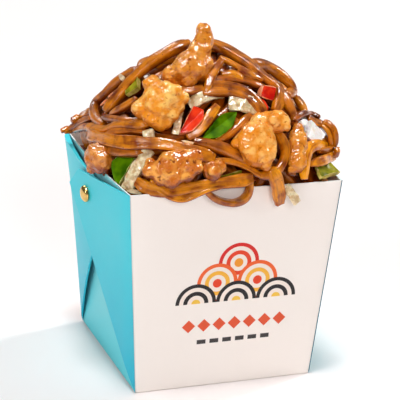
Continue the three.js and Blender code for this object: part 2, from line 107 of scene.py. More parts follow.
PICTURE = 400  # pixels each way
FOCAL = 1606.1  # pixels
CAMERA_PLACE = np.array((-261.4, -692.3, 326.3))
CAMERA_AZIMUTH, CAMERA_FALL, CAMERA_ROLL = 20.73, 18.58, 2.6  # degrees
NEAREST, FARTHEST = 600.0, 900.0  # how far from the camera the food lies
SIGHT_STEP = 0.25


def camera_axes():
    """The camera's right, up and ahead directions."""
    azimuth, fall, roll = (math.radians(a) for a in (CAMERA_AZIMUTH, CAMERA_FALL, CAMERA_ROLL))
    level = np.array((math.cos(azimuth), -math.sin(azimuth), 0))
    ahead = np.array((math.sin(azimuth), math.cos(azimuth), 0)) * math.cos(fall)
    ahead[2] = -math.sin(fall)
    high = np.cross(level, ahead)
    right = math.cos(roll) * level + math.sin(roll) * high
    up = math.cos(roll) * high - math.sin(roll) * level
    return right, up, ahead


RIGHT, UP, AHEAD = camera_axes()


def sight(px, py):
    """The line of sight through a pixel, one millimetre long along the camera's axis."""
    return AHEAD + RIGHT * (px - PICTURE / 2) / FOCAL + UP * (PICTURE / 2 - py) / FOCAL


# ---- shape of the heap -----------------------------------------------------------------------

def heap_top(x, y):
    across = np.abs(x / HEAP_HALF_WIDTH) ** HEAP_SQUARENESS
    deep = np.abs(y / HEAP_HALF_DEPTH) ** HEAP_SQUARENESS
    reach = (across + deep) ** (1 / HEAP_SQUARENESS)
    inside = np.clip(1 - reach**2, 0, 1) ** HEAP_FULLNESS
    dip = DIP_DEPTH * np.exp(-((x - DIP_X) ** 2 + (y - DIP_Y) ** 2) / DIP_REACH**2)
    return HEAP_FOOT + HEAP_RISE * inside - dip - STEEP * np.clip(reach - 1, 0, None)


def core_top(x, y):
    return np.maximum(CORE_FOOT, heap_top(CORE_SHRINK * x, CORE_SHRINK * y) - CORE_DEPTH)


def past_core(places):
    return places[:, 2] > core_top(places[:, 0], places[:, 1])


def past_heap(places):
    return places[:, 2] > heap_top(places[:, 0], places[:, 1])


def past_rim(places):
    """Over or outside the carton's rim, which loose noodles only cross well above it."""
    room = RIM_SPREAD * np.clip(places[:, 2] - RIM_CLEAR, 0, None)
    return (np.abs(places[:, 0]) > RIM_ROOM_X + room) | (np.abs(places[:, 1]) > RIM_ROOM_Y + room)


def reach_of(past, directions):
    """How far from the heap's heart each direction comes past a surface."""
    low = np.zeros(len(directions))
    high = np.full(len(directions), SEARCH_REACH)
    for _ in range(SEARCH_HALVINGS):
        middle = (low + high) / 2
        outside = past(HEAP_HEART + directions * middle[:, None])
        high = np.where(outside, middle, high)
        low = np.where(outside, low, middle)
    return low


def on_heap(px, py, lift):
    """The place where the line of sight through a pixel meets the heap, lift millimetres over
    it, or the place nearest to it where the line passes the heap by."""
    far = np.arange(NEAREST, FARTHEST, SIGHT_STEP)
    places = CAMERA_PLACE + far[:, None] * sight(px, py)
    above = places[:, 2] - heap_top(places[:, 0], places[:, 1]) - lift
    under = above < 0
    return places[np.argmax(under) if under.any() else np.argmin(above)]


def on_front(px, py, stand_off):
    """The place where the line of sight meets a plane in front of the front panel."""
    lean = (RIM_DEPTH - BASE_DEPTH) / 2 / CARTON_HEIGHT
    normal = np.array((0, -1, -lean))
    foot = np.array((0, -BASE_DEPTH / 2 - stand_off, 0))
    line = sight(px, py)
    return CAMERA_PLACE + line * (((foot - CAMERA_PLACE) @ normal) / (line @ normal))


# ---- mesh tools ------------------------------------------------------------------------------

def new_object(name, data):
    """Puts a new object with its data into the scene."""
    made = bpy.data.objects.new(name, data)
    bpy.context.scene.collection.objects.link(made)
    return made


def deselect():
    bpy.ops.object.select_all(action="DESELECT")


def take(piece):
    """Makes a piece the only selected and active object."""
    deselect()
    piece.select_set(True)
    bpy.context.view_layer.objects.active = piece


def added(name):
    """Names the primitive that was just added and puts its place into its mesh."""
    piece = bpy.context.object
    bpy.ops.object.transform_apply(location=True, rotation=True, scale=True)
    piece.name = name
    piece.data.name = name
    return piece


def edit(piece, kind, choose):
    """Goes into edit mode with only the chosen faces, edges or vertices of a piece selected."""
    take(piece)
    bpy.ops.object.mode_set(mode="EDIT")
    bpy.ops.mesh.select_mode(type=kind)
    bpy.ops.mesh.select_all(action="DESELECT")
    bpy.ops.object.mode_set(mode="OBJECT")
    parts = {"FACE": piece.data.polygons, "EDGE": piece.data.edges, "VERT": piece.data.vertices}
    for part in parts[kind]:
        part.select = choose(part)
    bpy.ops.object.mode_set(mode="EDIT")


def done():
    bpy.ops.object.mode_set(mode="OBJECT")


def modify(piece, kind, **settings):
    """Adds a modifier with its settings and applies it."""
    take(piece)
    modifier = piece.modifiers.new(kind.title(), kind)
    for key, value in settings.items():
        setattr(modifier, key, value)
    bpy.ops.object.modifier_apply(modifier=modifier.name)


def round_edges(piece, width, angle=40, segments=2):
    """Rounds the edges at which faces turn by more than an angle, in degrees."""
    modify(
        piece, "BEVEL", width=width * MM, segments=segments, limit_method="ANGLE",
        angle_limit=math.radians(angle),
    )


def displace(piece, texture, strength, level=0.5):
    """Raises a texture on a piece by up to strength millimetres; its level stays where it is."""
    modify(
        piece, "DISPLACE", texture=texture, strength=strength * MM, mid_level=level,
        texture_coords="LOCAL",
    )


def face_out(piece):
    """Turns every face of a closed piece outwards."""
    edit(piece, "FACE", lambda face: True)
    bpy.ops.mesh.normals_make_consistent(inside=False)
    done()


def shape(piece, move):
    """Moves every vertex by a function of its place, in millimetres."""
    for vertex in piece.data.vertices:
        vertex.co = Vector(move(*(vertex.co / MM))) * MM


def points_of(piece):
    """The places of a piece's vertices, in metres, one to a row."""
    points = np.empty(len(piece.data.vertices) * 3)
    piece.data.vertices.foreach_get("co", points)
    return points.reshape(-1, 3)


def middle_of(piece):
    return sum((Vector(corner) for corner in piece.bound_box), Vector()) / 8


def smooth(piece, angle=None):
    take(piece)
    if angle is None:
        bpy.ops.object.shade_smooth()
    else:
        bpy.ops.object.shade_smooth_by_angle(angle=math.radians(angle))


def join(pieces, name):
    deselect()
    for piece in pieces:
        piece.select_set(True)
    bpy.context.view_layer.objects.active = pieces[0]
    bpy.ops.object.join()
    pieces[0].name = name
    pieces[0].data.name = name
    return pieces[0]


def copy_of_node(node, name):
    """A copy of a CAD node's mesh with its doubled vertices merged."""
    piece = new_object(name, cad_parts[node].data.copy())
    piece.data.materials.clear()
    edit(piece, "VERT", lambda vertex: True)
    bpy.ops.mesh.remove_doubles(threshold=0.01 * MM)
    done()
    return piece


def finish_piece(piece, slot, replaced, *looks):
    """Gives a finished piece its materials, puts it under the root body and hides the nodes that it
    stands for. slot is not used.
    """
    for look in looks:
        piece.data.materials.append(look)
    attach(piece, "root")
    if replaced:
        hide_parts(*replaced)


# ---- materials -------------------------------------------------------------------------------

def ink(hex_colour):
    """An sRGB hex value as linear red, green, blue and alpha."""
    channels = [int(hex_colour[i:i + 2], 16) / 255 for i in (0, 2, 4)]
    linear = [c / 12.92 if c <= 0.04045 else ((c + 0.055) / 1.055) ** 2.4 for c in channels]
    return (*linear, 1.0)


def fill(tree, node, inputs):
    """Sets a node's sockets to values, or links them to the outputs of other nodes."""
    for key, value in inputs.items():
        if isinstance(value, bpy.types.NodeSocket):
            tree.links.new(value, node.inputs[key])
        else:
            node.inputs[key].default_value = value


def add(tree, kind, inputs, output=0, **settings):
    """Adds a shader node with its settings and inputs, and gives back one of its outputs."""
    node = tree.nodes.new("ShaderNode" + kind)
    for key, value in settings.items():
        setattr(node, key, value)
    fill(tree, node, inputs)
    return node.outputs[output]


def material(name, **surface):
    """A material, its node tree and its shader, with the shader's own sockets set."""
    made = bpy.data.materials.new(name)
    made.use_nodes = True
    shader = made.node_tree.nodes["Principled BSDF"]
    fill(made.node_tree, shader, {key.replace("_", " "): value for key, value in surface.items()})
    return made, made.node_tree, shader


FACTOR, COLOUR_A, COLOUR_B, COLOUR_OUT = 0, 6, 7, 2  # sockets of a Mix node of colours


def paint(tree, colour, *coats):
    """A colour with coats laid over it in turn, each as (how much of it shows, its colour). How
    much is an output, or (pattern, value where the coat starts, value where it is full)."""
    for share, coat in coats:
        if isinstance(share, tuple):
            pattern, start, full = share
            inputs = {"Value": pattern, "From Min": start, "From Max": full}
            share = add(tree, "MapRange", inputs, interpolation_type="SMOOTHSTEP")
        inputs = {FACTOR: share, COLOUR_A: colour, COLOUR_B: coat}
        colour = add(tree, "Mix", inputs, COLOUR_OUT, data_type="RGBA")
    return colour


def clad(tree, shader, colour, relief, strength, depth):
    """Gives a surface its colour and a relief of a depth in millimetres, the glaze over it too."""
    bump = add(tree, "Bump", {"Strength": strength, "Distance": depth * MM, "Height": relief})
    fill(tree, shader, {"Base Color": colour, "Normal": bump, "Coat Normal": bump})


def white_card():
    """Clay-coated white cartonboard: a soft even sheen over a barely seen fibre, drawn coarser
    than the real one, which is too fine to show."""
    made, tree, shader = material("clay coated white board", Roughness=0.5, Specular_IOR_Level=0.35)
    place = add(tree, "TexCoord", {}, "Object")
    fibre = add(tree, "TexNoise", {"Vector": place, "Scale": 1 / (0.9 * MM), "Detail": 3.0})
    clay = add(tree, "TexNoise", {"Vector": place, "Scale": 1 / (35 * MM), "Detail": 2.0})
    colour = paint(tree, ink("FBF4EE"), (clay, ink("F8EFE8")))
    clad(tree, shader, colour, fibre, 0.12, 0.05)
    return made, tree, shader, colour


def turquoise_card(name, foot, top, painted_shade_top):
    """Cartonboard under turquoise offset ink: a flat sheen over the same coarsely drawn fibre. Its
    colour is painted darker towards the foot as painted shade, and lightens up to a height."""
    made, tree, shader = material(name, Roughness=0.45, Specular_IOR_Level=0.25)
    place = add(tree, "TexCoord", {}, "Object")
    height = add(tree, "SeparateXYZ", {"Vector": place}, "Z")
    film = add(tree, "TexNoise", {"Vector": place, "Scale": 1 / (30 * MM), "Detail": 2.0})
    fibre = add(tree, "TexNoise", {"Vector": place, "Scale": 1 / (0.9 * MM), "Detail": 3.0})
    # Painted shade: the colour darkens from the top colour to the foot colour below this height.
    rise = (height, -10 * MM, painted_shade_top * MM)
    colour = paint(tree, ink(foot), (rise, ink(top)), ((film, 0.3, 1.6), ink("70DCEA")))
    clad(tree, shader, colour, fibre, 0.12, 0.05)
    return made


def cut_card():
    """The raw edge of the board: dull white pulp, its fibres drawn coarser than they are."""
    made, tree, shader = material("cut board edge", Roughness=0.8, Specular_IOR_Level=0.2)
    place = add(tree, "TexCoord", {}, "Object")
    pulp = add(tree, "TexNoise", {"Vector": place, "Scale": 1 / (0.5 * MM), "Detail": 4.0})
    fill(tree, shader, {"Base Color": paint(tree, ink("E9F3F2"), (pulp, ink("FFFFFF")))})
    return made


def slot_shade_card():
    """The inner ply of a web, printed solid turquoise and darkened as painted shade, seen only through
    the slot between the webs.
    """
    made, tree, shader = material("turquoise print darkened as slot shade", Roughness=0.6, Specular_IOR_Level=0.2)
    place = add(tree, "TexCoord", {}, "Object")
    film = add(tree, "TexNoise", {"Vector": place, "Scale": 1 / (12 * MM), "Detail": 2.0})
    fill(tree, shader, {"Base Color": paint(tree, ink("00708C"), (film, ink("008AA6")))})
    return made


# The print: three rows of a traditional wave-scale pattern, then a row of diamonds and a row of
# short bars. Every shape is a field of one colour on the front panel.
PRINT_MIDDLE = 3.0  # millimetres right of the panel's middle line
SCALE_RADIUS = 10.0
SCALE_RISE = 9.6
SCALE_FOOT = 43.5
SCALE_RINGS = (1.0, 0.82, 0.62, 0.42, 0.22)  # outer radius of each ring, as a share
SCALE_ROWS = (
    ("D8261F", "F7E9DE", "E8431F", "F7E9DE", "F39A2B"),
    ("F0642A", "F7E9DE", "F6B53C", "F7E9DE", "E8431F"),
    ("242021", "F7E9DE", "242021", "F7E9DE", "F6C648"),
)
DIAMOND_COUNT, DIAMOND_STEP, DIAMOND_HALF, DIAMOND_HEIGHT = 7, 7.6, 3.3, 32.0
BAR_COUNT, BAR_STEP, BAR_HALF_WIDTH, BAR_HALF_HEIGHT, BAR_HEIGHT = 6, 6.4, 2.2, 1.1, 23.5


def row_of(count, apart):
    """Where the middles of a row of printed shapes lie."""
    return [PRINT_MIDDLE + apart * (number - (count - 1) / 2) for number in range(count)]


def wave_scales():
    """(centre x, centre z, radius, colour) of each ring, from the top row to the foot."""
    for row, colours in enumerate(SCALE_ROWS):
        level = SCALE_FOOT + SCALE_RISE * (len(SCALE_ROWS) - 1 - row)
        for middle in row_of(row + 1, 2 * SCALE_RADIUS):
            for share, colour in zip(SCALE_RINGS, colours):
                yield middle, level, share * SCALE_RADIUS, colour


def printed_card():
    """White cartonboard with the same sheen, and flat opaque inks on the front panel."""
    made, tree, shader, colour = white_card()
    made.name = "white board with printed motif"
    place = add(tree, "TexCoord", {}, "Object")
    across, height = (add(tree, "SeparateXYZ", {"Vector": place}, axis) for axis in "XZ")
    flat = add(tree, "CombineXYZ", {"X": across, "Z": height})
    over_foot = add(tree, "Math", {0: height, 1: SCALE_FOOT * MM}, operation="GREATER_THAN")
    inks = []
    for x, z, radius, hex_colour in wave_scales():
        inputs = {0: flat, 1: (x * MM, 0, z * MM)}
        distance = add(tree, "VectorMath", inputs, "Value", operation="DISTANCE")
        inside = add(tree, "Math", {0: distance, 1: radius * MM}, operation="LESS_THAN")
        shown = add(tree, "Math", {0: inside, 1: over_foot}, operation="MULTIPLY")
        inks.append((shown, ink(hex_colour)))
    inks += [(diamond(tree, flat, x), ink("E2552F")) for x in row_of(DIAMOND_COUNT, DIAMOND_STEP)]
    inks += [(bar(tree, flat, x), ink("3A3636")) for x in row_of(BAR_COUNT, BAR_STEP)]
    fill(tree, shader, {"Base Color": paint(tree, colour, *inks)})
    return made


def away_from(tree, place, x, z):
    """How far a place lies from a centre, counted along X and Z on their own."""
    inputs = {0: place, 1: (x * MM, 0, z * MM)}
    offset = add(tree, "VectorMath", inputs, operation="SUBTRACT")
    return add(tree, "VectorMath", {0: offset}, operation="ABSOLUTE")


def diamond(tree, place, x):
    away = {0: away_from(tree, place, x, DIAMOND_HEIGHT), 1: (1, 0, 1)}
    total = add(tree, "VectorMath", away, "Value", operation="DOT_PRODUCT")
    return add(tree, "Math", {0: total, 1: DIAMOND_HALF * MM}, operation="LESS_THAN")


def bar(tree, place, x):
    away = away_from(tree, place, x, BAR_HEIGHT)
    within = {}
    for number, (axis, half) in enumerate((("X", BAR_HALF_WIDTH), ("Z", BAR_HALF_HEIGHT))):
        inputs = {0: add(tree, "SeparateXYZ", {"Vector": away}, axis), 1: half * MM}
        within[number] = add(tree, "Math", inputs, operation="LESS_THAN")
    return add(tree, "Math", within, operation="MULTIPLY")


def brass():
    """Pressed brass, lightly polished: a bright pale gold with fine die marks."""
    made, tree, shader = material("pressed brass", Metallic=1.0, Roughness=0.22)
    place = add(tree, "TexCoord", {}, "Object")
    marks = add(tree, "TexNoise", {"Vector": place, "Scale": 1 / (1.5 * MM), "Detail": 3.0})
    clad(tree, shader, paint(tree, ink("E8C680"), (marks, ink("D9AE5C"))), marks, 0.15, 0.05)
    return made


def glazed_noodle():
    """Boiled wheat noodle stained with dark soy: amber where it is thick, red brown where the sauce has
    soaked in and darker on its downward faces as painted shade, under a wet coat of oil broken up by
    fine wrinkles."""
    made, tree, shader = material(
        "soy glazed wheat noodle", Roughness=0.4, Specular_IOR_Level=0.1, Coat_Weight=0.9,
        Coat_Roughness=0.07, Subsurface_Weight=0.1, Subsurface_Scale=1.6 * MM,
        Subsurface_Radius=(1.0, 0.35, 0.05),
    )
    grain = add(tree, "Attribute", {}, "Vector", attribute_name="grain")
    tone = add(tree, "Attribute", {}, "Fac", attribute_name="tone")
    place = add(tree, "TexCoord", {}, "Object")
    normal = add(tree, "NewGeometry", {}, "Normal")
    upward = add(tree, "SeparateXYZ", {"Vector": normal}, "Z")
    streaks = add(tree, "TexNoise", {"Vector": grain, "Scale": 0.7, "Detail": 2.0})
    stains = add(tree, "TexNoise", {"Vector": place, "Scale": 1 / (6 * MM), "Detail": 2.0})
    specks = add(tree, "TexNoise", {"Vector": place, "Scale": 1 / (1.3 * MM), "Detail": 2.0})
    # Sauce soaks in by stains and, less strongly, by streaks along the noodle.
    inputs = {"Value": stains, "From Min": 0.36, "From Max": 0.74}
    stain = add(tree, "MapRange", inputs, interpolation_type="SMOOTHSTEP")
    inputs = {"Value": streaks, "From Min": 0.42, "From Max": 0.72, "To Max": 0.35}
    streak = add(tree, "MapRange", inputs, interpolation_type="SMOOTHSTEP")
    inputs = {0: stain, 1: 0.8, 2: streak}
    soak = add(tree, "Math", inputs, operation="MULTIPLY_ADD", use_clamp=True)
    light = paint(tree, ink("A84600"), (tone, ink("FFA404")))
    dark = paint(tree, ink("340C00"), (tone, ink("983600")))
    speck = ((specks, 0.68, 0.78), ink("4A1602"))
    # Painted shade: faces that point downwards are darkened to the dark colour.
    colour = paint(tree, light, (soak, dark), ((upward, 0.0, -0.8), dark), speck)
    wrinkles = add(tree, "TexNoise", {"Vector": grain, "Scale": 1.4, "Detail": 3.0})
    dimples = add(tree, "TexNoise", {"Vector": place, "Scale": 1 / (2.2 * MM), "Detail": 3.0})
    relief = add(tree, "Math", {0: dimples, 1: 0.5, 2: wrinkles}, operation="MULTIPLY_ADD")
    clad(tree, shader, colour, relief, 0.8, 0.26)
    return made


def sauce_and_shade_core():
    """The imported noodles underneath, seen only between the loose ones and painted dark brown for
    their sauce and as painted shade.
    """
    made, tree, shader = material("soy sauce between noodles", Roughness=0.5, Specular_IOR_Level=0.15)
    place = add(tree, "TexCoord", {}, "Object")
    lumps = add(tree, "TexNoise", {"Vector": place, "Scale": 1 / (6 * MM), "Detail": 3.0})
    fill(tree, shader, {"Base Color": paint(tree, ink("280A01"), (lumps, ink("6E2C06")))})
    return made


def batter(name, pale, golden, brown, gloss):
    """Fried batter: a pale golden crust with browned patches, dark pores and an underside painted brown
    as shade. gloss is how much of it wears a wet glaze."""
    made, tree, shader = material(
        name, Specular_IOR_Level=0.12, Coat_Weight=gloss, Coat_Roughness=0.12,
        Subsurface_Weight=0.12, Subsurface_Scale=2 * MM, Subsurface_Radius=(1.0, 0.5, 0.2),
    )
    place = add(tree, "TexCoord", {}, "Object")
    normal = add(tree, "NewGeometry", {}, "Normal")
    upward = add(tree, "SeparateXYZ", {"Vector": normal}, "Z")
    patches = add(tree, "TexNoise", {"Vector": place, "Scale": 1 / (11 * MM), "Detail": 2.0})
    mottles = add(tree, "TexNoise", {"Vector": place, "Scale": 1 / (4 * MM), "Detail": 4.0})
    crumbs = add(tree, "TexNoise", {"Vector": place, "Scale": 1 / (2.2 * MM), "Detail": 1.5})
    colour = paint(
        tree, ink(golden), ((mottles, 0.4, 0.68), ink(pale)), ((patches, 0.5, 0.66), ink(golden)),
        # The crumbs coat gives the dark pores; the last coat is painted shade that browns faces
        # pointing downwards.
        ((crumbs, 0.4, 0.26), ink(brown)), ((upward, 0.15, -0.6), ink(brown)),
    )
    inputs = {"Value": crumbs, "From Min": 0.3, "From Max": 0.7, "To Min": 0.25, "To Max": 0.6}
    fill(tree, shader, {"Roughness": add(tree, "MapRange", inputs)})
    clad(tree, shader, colour, crumbs, 0.9, 0.7)
    return made


def vegetable(name, deep, bright, grain_size, gloss):
    """Cooked pepper: a soft skin, a little uneven in colour, with a fine cell relief. gloss is how
    much of it wears a wet glaze."""
    made, tree, shader = material(
        name, Roughness=0.55, Specular_IOR_Level=0.02, Coat_Weight=gloss, Coat_Roughness=0.12,
        Subsurface_Weight=0.05, Subsurface_Scale=1.0 * MM,
    )
    place = add(tree, "TexCoord", {}, "Object")
    inputs = {"Vector": place, "Scale": 1 / (grain_size * MM), "Detail": 2.0}
    grain = add(tree, "TexNoise", inputs)
    cells = add(tree, "TexNoise", {"Vector": place, "Scale": 1 / (0.9 * MM), "Detail": 2.0})
    colour = paint(tree, ink(deep), ((grain, 0.3, 0.7), ink(bright)))
    clad(tree, shader, colour, cells, 0.3, 0.2)
    return made


def onion_flesh(name, pale, deep, stain):
    """Softened onion and cabbage: translucent and veined, with sauce stains and browned specks."""
    made, tree, shader = material(
        name, Roughness=0.3, Coat_Weight=0.5, Coat_Roughness=0.12, Subsurface_Weight=0.2,
        Subsurface_Scale=1.5 * MM,
    )
    place = add(tree, "TexCoord", {}, "Object")
    veins = add(tree, "TexNoise", {"Vector": place, "Scale": 1 / (2.4 * MM), "Detail": 4.0})
    stains = add(tree, "TexNoise", {"Vector": place, "Scale": 1 / (6 * MM), "Detail": 4.0})
    specks = add(tree, "TexNoise", {"Vector": place, "Scale": 1 / (1.6 * MM), "Detail": 2.0})
    colour = paint(
        tree, ink(pale), ((veins, 0.38, 0.62), ink(deep)), ((stains, 0.55, 0.72), ink(stain)),
        ((specks, 0.68, 0.76), ink("7A4A1C")),
    )
    clad(tree, shader, colour, veins, 0.5, 0.4)
    return made


# ---- carton ----------------------------------------------------------------------------------

def half_width(z):
    return (BASE_WIDTH + (RIM_WIDTH - BASE_WIDTH) * z / CARTON_HEIGHT) / 2


def half_depth(z):
    return (BASE_DEPTH + (RIM_DEPTH - BASE_DEPTH) * z / CARTON_HEIGHT) / 2


def tapered(x, y, z):
    """A unit box with corners at 1 and -1, drawn out to the carton's taper and side bow."""
    height = CARTON_HEIGHT * (z + 1) / 2
    bow = SIDE_BOW * (1 - y**2) * (height / CARTON_HEIGHT) ** 2
    return x * (half_width(height) + bow), y * half_depth(height), height


def make_panels():
    """The panels and base: a tapered open box, creased round at its corners, one board thick."""
    bpy.ops.mesh.primitive_cube_add(size=2 * MM)
    panels = added("carton_panels")
    edit(panels, "FACE", lambda face: face.normal.z > 0.5)
    bpy.ops.mesh.delete(type="ONLY_FACE")
    bpy.ops.mesh.select_all(action="SELECT")
    bpy.ops.mesh.subdivide(number_cuts=PANEL_CUTS)
    done()
    shape(panels, tapered)
    round_edges(panels, CREASE, segments=3)
    modify(panels, "SOLIDIFY", thickness=CARD * MM, offset=-1, use_even_offset=True)
    smooth(panels, 35)
    return panels


PRINTED, WHITE, TURQUOISE, CUT = range(4)  # the materials of the panels


def paint_panels(panels):
    for face in panels.data.polygons:
        out = face.center.x * face.normal.x + face.center.y * face.normal.y
        rim = face.normal.z > 0.9 and face.center.z > 0.9 * CARTON_HEIGHT * MM
        side = abs(face.normal.x) > abs(face.normal.y) and abs(face.normal.z) < 0.5
        if rim:
            face.material_index = CUT
        elif out < 0 or face.normal.z > 0.5 or face.normal.z < -0.7:
            face.material_index = WHITE
        elif side:
            face.material_index = TURQUOISE
        else:
            face.material_index = PRINTED if face.normal.y < 0 else WHITE


def corner_frame(side, end):
    """A side panel seen from one bottom corner: that corner, the length of its corner edge, and
    the directions up the edge, in along the panel and out of it."""
    foot = Vector((side * BASE_WIDTH / 2, end * BASE_DEPTH / 2, 0))
    edge = Vector((side * RIM_WIDTH / 2, end * RIM_DEPTH / 2, CARTON_HEIGHT)) - foot
    up = edge.normalized()
    level = Vector((0, -end, 0))
    out = level.cross(up).normalized() * (-side * end)
    inward = (level - up * level.dot(up)).normalized()
    return foot, edge.length, up, inward, out


def front_web_lift(run):
    return run * math.tan(math.radians(FRONT_WEB_SWING))


def back_web_lift(run):
    return BACK_WEB_RISE * (1 - ((run - BACK_WEB_PEAK) / BACK_WEB_PEAK) ** 2)


def web_half_angle():
    front_lean = math.atan((RIM_WIDTH - BASE_WIDTH) / 2 / CARTON_HEIGHT)
    side_lean = math.atan((RIM_DEPTH - BASE_DEPTH) / 2 / CARTON_HEIGHT)
    return (math.pi / 2 - front_lean - side_lean) / 2


def make_web(name, side, end, lift, hinge, hinge_bulge):
    """A corner web folded flat: two plies, hinged on the carton's corner edge and open along
    its dipping top edge. Its diagonal fold is rounded, and it thins out towards its hinge."""
    foot, edge_length, up, inward, out = corner_frame(side, end)
    half_angle = web_half_angle()
    top_end = edge_length - WEB_TOP_RUN * math.tan(math.radians(WEB_TOP_DIP))
    fold_run = WEB_FOLD_LENGTH * math.sin(half_angle)
    fold_rise = WEB_FOLD_LENGTH * math.cos(half_angle)

    def lay(x, y, z):
        along, high = x + 0.5, y + 0.5
        run = along * (fold_run * (1 - high) + WEB_TOP_RUN * high)
        edge_rise = edge_length * (1 - along) + top_end * along
        rise = fold_rise * along * (1 - high) + edge_rise * high
        bulge = hinge_bulge * (1 - along) ** 2 * high**4
        ply = WEB_PLY * min(1, THINNEST_PLY + run / hinge)
        depth = lift(run) + (ply + bulge if z > 0 else 0)
        place = foot + up * rise + inward * run + out * depth
        place.z = max(FLOOR_GAP, place.z)
        return place

    bpy.ops.mesh.primitive_cube_add(size=MM)
    web = added(name)
    edit(web, "EDGE", lambda edge: True)
    bpy.ops.mesh.subdivide(number_cuts=PANEL_CUTS)
    done()
    shape(web, lay)
    face_out(web)
    for face in web.data.polygons:
        # Faces towards the side panel take the darker ply: painted shade for the slot between the webs.
        face.material_index = 1 if face.normal.dot(out) < -0.6 else 0
    round_edges(web, WEB_CREASE, 50)
    smooth(web, 40)
    return web


def make_carton(front, white, painted_light_panel_ink, web_ink, edge, slot_shade):
    panels = make_panels()
    paint_panels(panels)
    finish_piece(panels, "carton_card", ["carton"], front, white, painted_light_panel_ink, edge)
    for side, side_name in ((-1, "left"), (1, "right")):
        for end, end_name, *fold in (
            (-1, "front", front_web_lift, FRONT_HINGE, 0),
            (1, "back", back_web_lift, BACK_HINGE, BACK_HINGE_BULGE),
        ):
            web = make_web(f"web_{end_name}_{side_name}", side, end, *fold)
            finish_piece(web, "carton_card", ["carton"], web_ink, slot_shade)


def make_rivet(name, node, side, metal):
    """A domed rivet head with a rolled edge, its shank and the ring clinched inside."""
    web_lift = front_web_lift(half_depth(RIVET_SLANT) + RIVET_RADIUS)
    head_seat = web_lift + WEB_PLY + HEAD_STAND_OFF
    inner_seat = SIDE_BOW * (RIVET_SLANT / CARTON_HEIGHT) ** 2 - CARD - RING_STAND_OFF
    ring_end = inner_seat - RING_THICKNESS
    section = [
        (0, ring_end), (RING_RADIUS - RING_BEVEL, ring_end), (RING_RADIUS, inner_seat),
        (SHANK_RADIUS, inner_seat), (SHANK_RADIUS, head_seat),
        (RIVET_RADIUS - RIVET_EDGE, head_seat - RIVET_EDGE / 2),
        (RIVET_RADIUS, head_seat + RIVET_EDGE / 2),
    ]
    for turn in range(DOME_TURN, 91, DOME_TURN):
        angle = math.radians(turn)
        rise = head_seat + RIVET_EDGE + RIVET_DOME * math.sin(angle)
        section.append((RIVET_RADIUS * math.cos(angle), rise))
    mesh = bpy.data.meshes.new(name)
    points = [(x * MM, 0, z * MM) for x, z in section]
    mesh.from_pydata(points, [(i, i + 1) for i in range(len(points) - 1)], [])
    rivet = new_object(name, mesh)
    edit(rivet, "VERT", lambda vertex: True)
    bpy.ops.mesh.spin(steps=RIVET_STEPS, angle=2 * math.pi, center=(0, 0, 0), axis=(0, 0, 1))
    bpy.ops.mesh.select_all(action="SELECT")
    bpy.ops.mesh.remove_doubles(threshold=0.02 * MM)
    done()
    face_out(rivet)
    up = Vector((side * (RIM_WIDTH - BASE_WIDTH) / 2, 0, CARTON_HEIGHT)).normalized()
    out = Vector((0, 1, 0)).cross(up).normalized() * side
    seat = Vector((side * BASE_WIDTH / 2, 0, 0)) + up * RIVET_SLANT
    turn = Vector((0, 0, 1)).rotation_difference(out).to_matrix().to_4x4()
    swing = Matrix.Rotation(math.radians(-side * FRONT_WEB_SWING), 4, up)
    rivet.data.transform(Matrix.Translation(seat * MM) @ swing @ turn)
    smooth(rivet, 50)
    finish_piece(rivet, "brass", [node], metal)


# ---- noodles ---------------------------------------------------------------------------------

NOODLE_ROUNDING, END_INSET, END_BULGE = 0.27, 0.13, 0.01  # of the straight model, 1 mm across
END_SWELL = 35.0  # times the model's bulge: how far a laid noodle's ends swell out
UNEVENNESS = ((0.1, 7.0, 1), (0.05, 2.6, 2))  # share of the section, mm a radian, offset
END_TAPER, END_TAPER_REACH = 0.28, 2.5  # share of the section, and how far from the end
CUP, CUP_MIDDLE = 0.35, 0.4  # how far a noodle's flat side bends hollow
GRAIN_STRETCH, GRAIN_APART = 0.12, 7  # along a noodle, and from one noodle to the next


def model_noodle():
    """One straight noodle, 1 mm long along X and 1 mm across, with rounded long edges and
    slightly swollen cut ends. Laying it gives it its real length and section."""
    bpy.ops.mesh.primitive_cube_add(size=MM, location=(MM / 2, 0, 0))
    noodle = added("noodle")

    def lengthways(edge):
        one, other = (noodle.data.vertices[i].co for i in edge.vertices)
        return abs(one.x - other.x) > 0.5 * MM

    edit(noodle, "EDGE", lengthways)
    bpy.ops.mesh.bevel(offset=NOODLE_ROUNDING * MM, segments=2, affect="EDGES")
    done()
    edit(noodle, "FACE", lambda face: abs(face.normal.x) > 0.9)
    bpy.ops.mesh.inset(thickness=END_INSET * MM, use_individual=True)
    done()
    ends = [f for f in noodle.data.polygons if abs(f.normal.x) > 0.9 and len(f.vertices) > 4]
    for index in {index for end in ends for index in end.vertices}:
        vertex = noodle.data.vertices[index]
        vertex.co.x = MM * (1 + END_BULGE if vertex.co.x > MM / 2 else -END_BULGE)
    edit(noodle, "EDGE", lengthways)
    bpy.ops.mesh.subdivide(number_cuts=NOODLE_RINGS)
    done()
    for name, kind in (("grain", "FLOAT_VECTOR"), ("tone", "FLOAT")):
        noodle.data.attributes.new(name, kind, "POINT")
    smooth(noodle)
    return noodle


def spline(corners):
    """A smooth curve through points, as evenly spaced places."""
    corners = np.asarray(corners, float)
    before = 2 * corners[0] - corners[1]
    after = 2 * corners[-1] - corners[-2]
    ring = np.vstack((before, corners, after))
    samples = []
    for i in range(1, len(ring) - 2):
        a, b, c, d = ring[i - 1:i + 3]
        t = np.linspace(0, 1, CURVE_STEPS, endpoint=False)[:, None]
        part = 2 * b + (c - a) * t + (2 * a - 5 * b + 4 * c - d) * t**2
        samples.append((part + (3 * b - a - 3 * c + d) * t**3) / 2)
    return even(np.vstack((*samples, corners[-1:])))


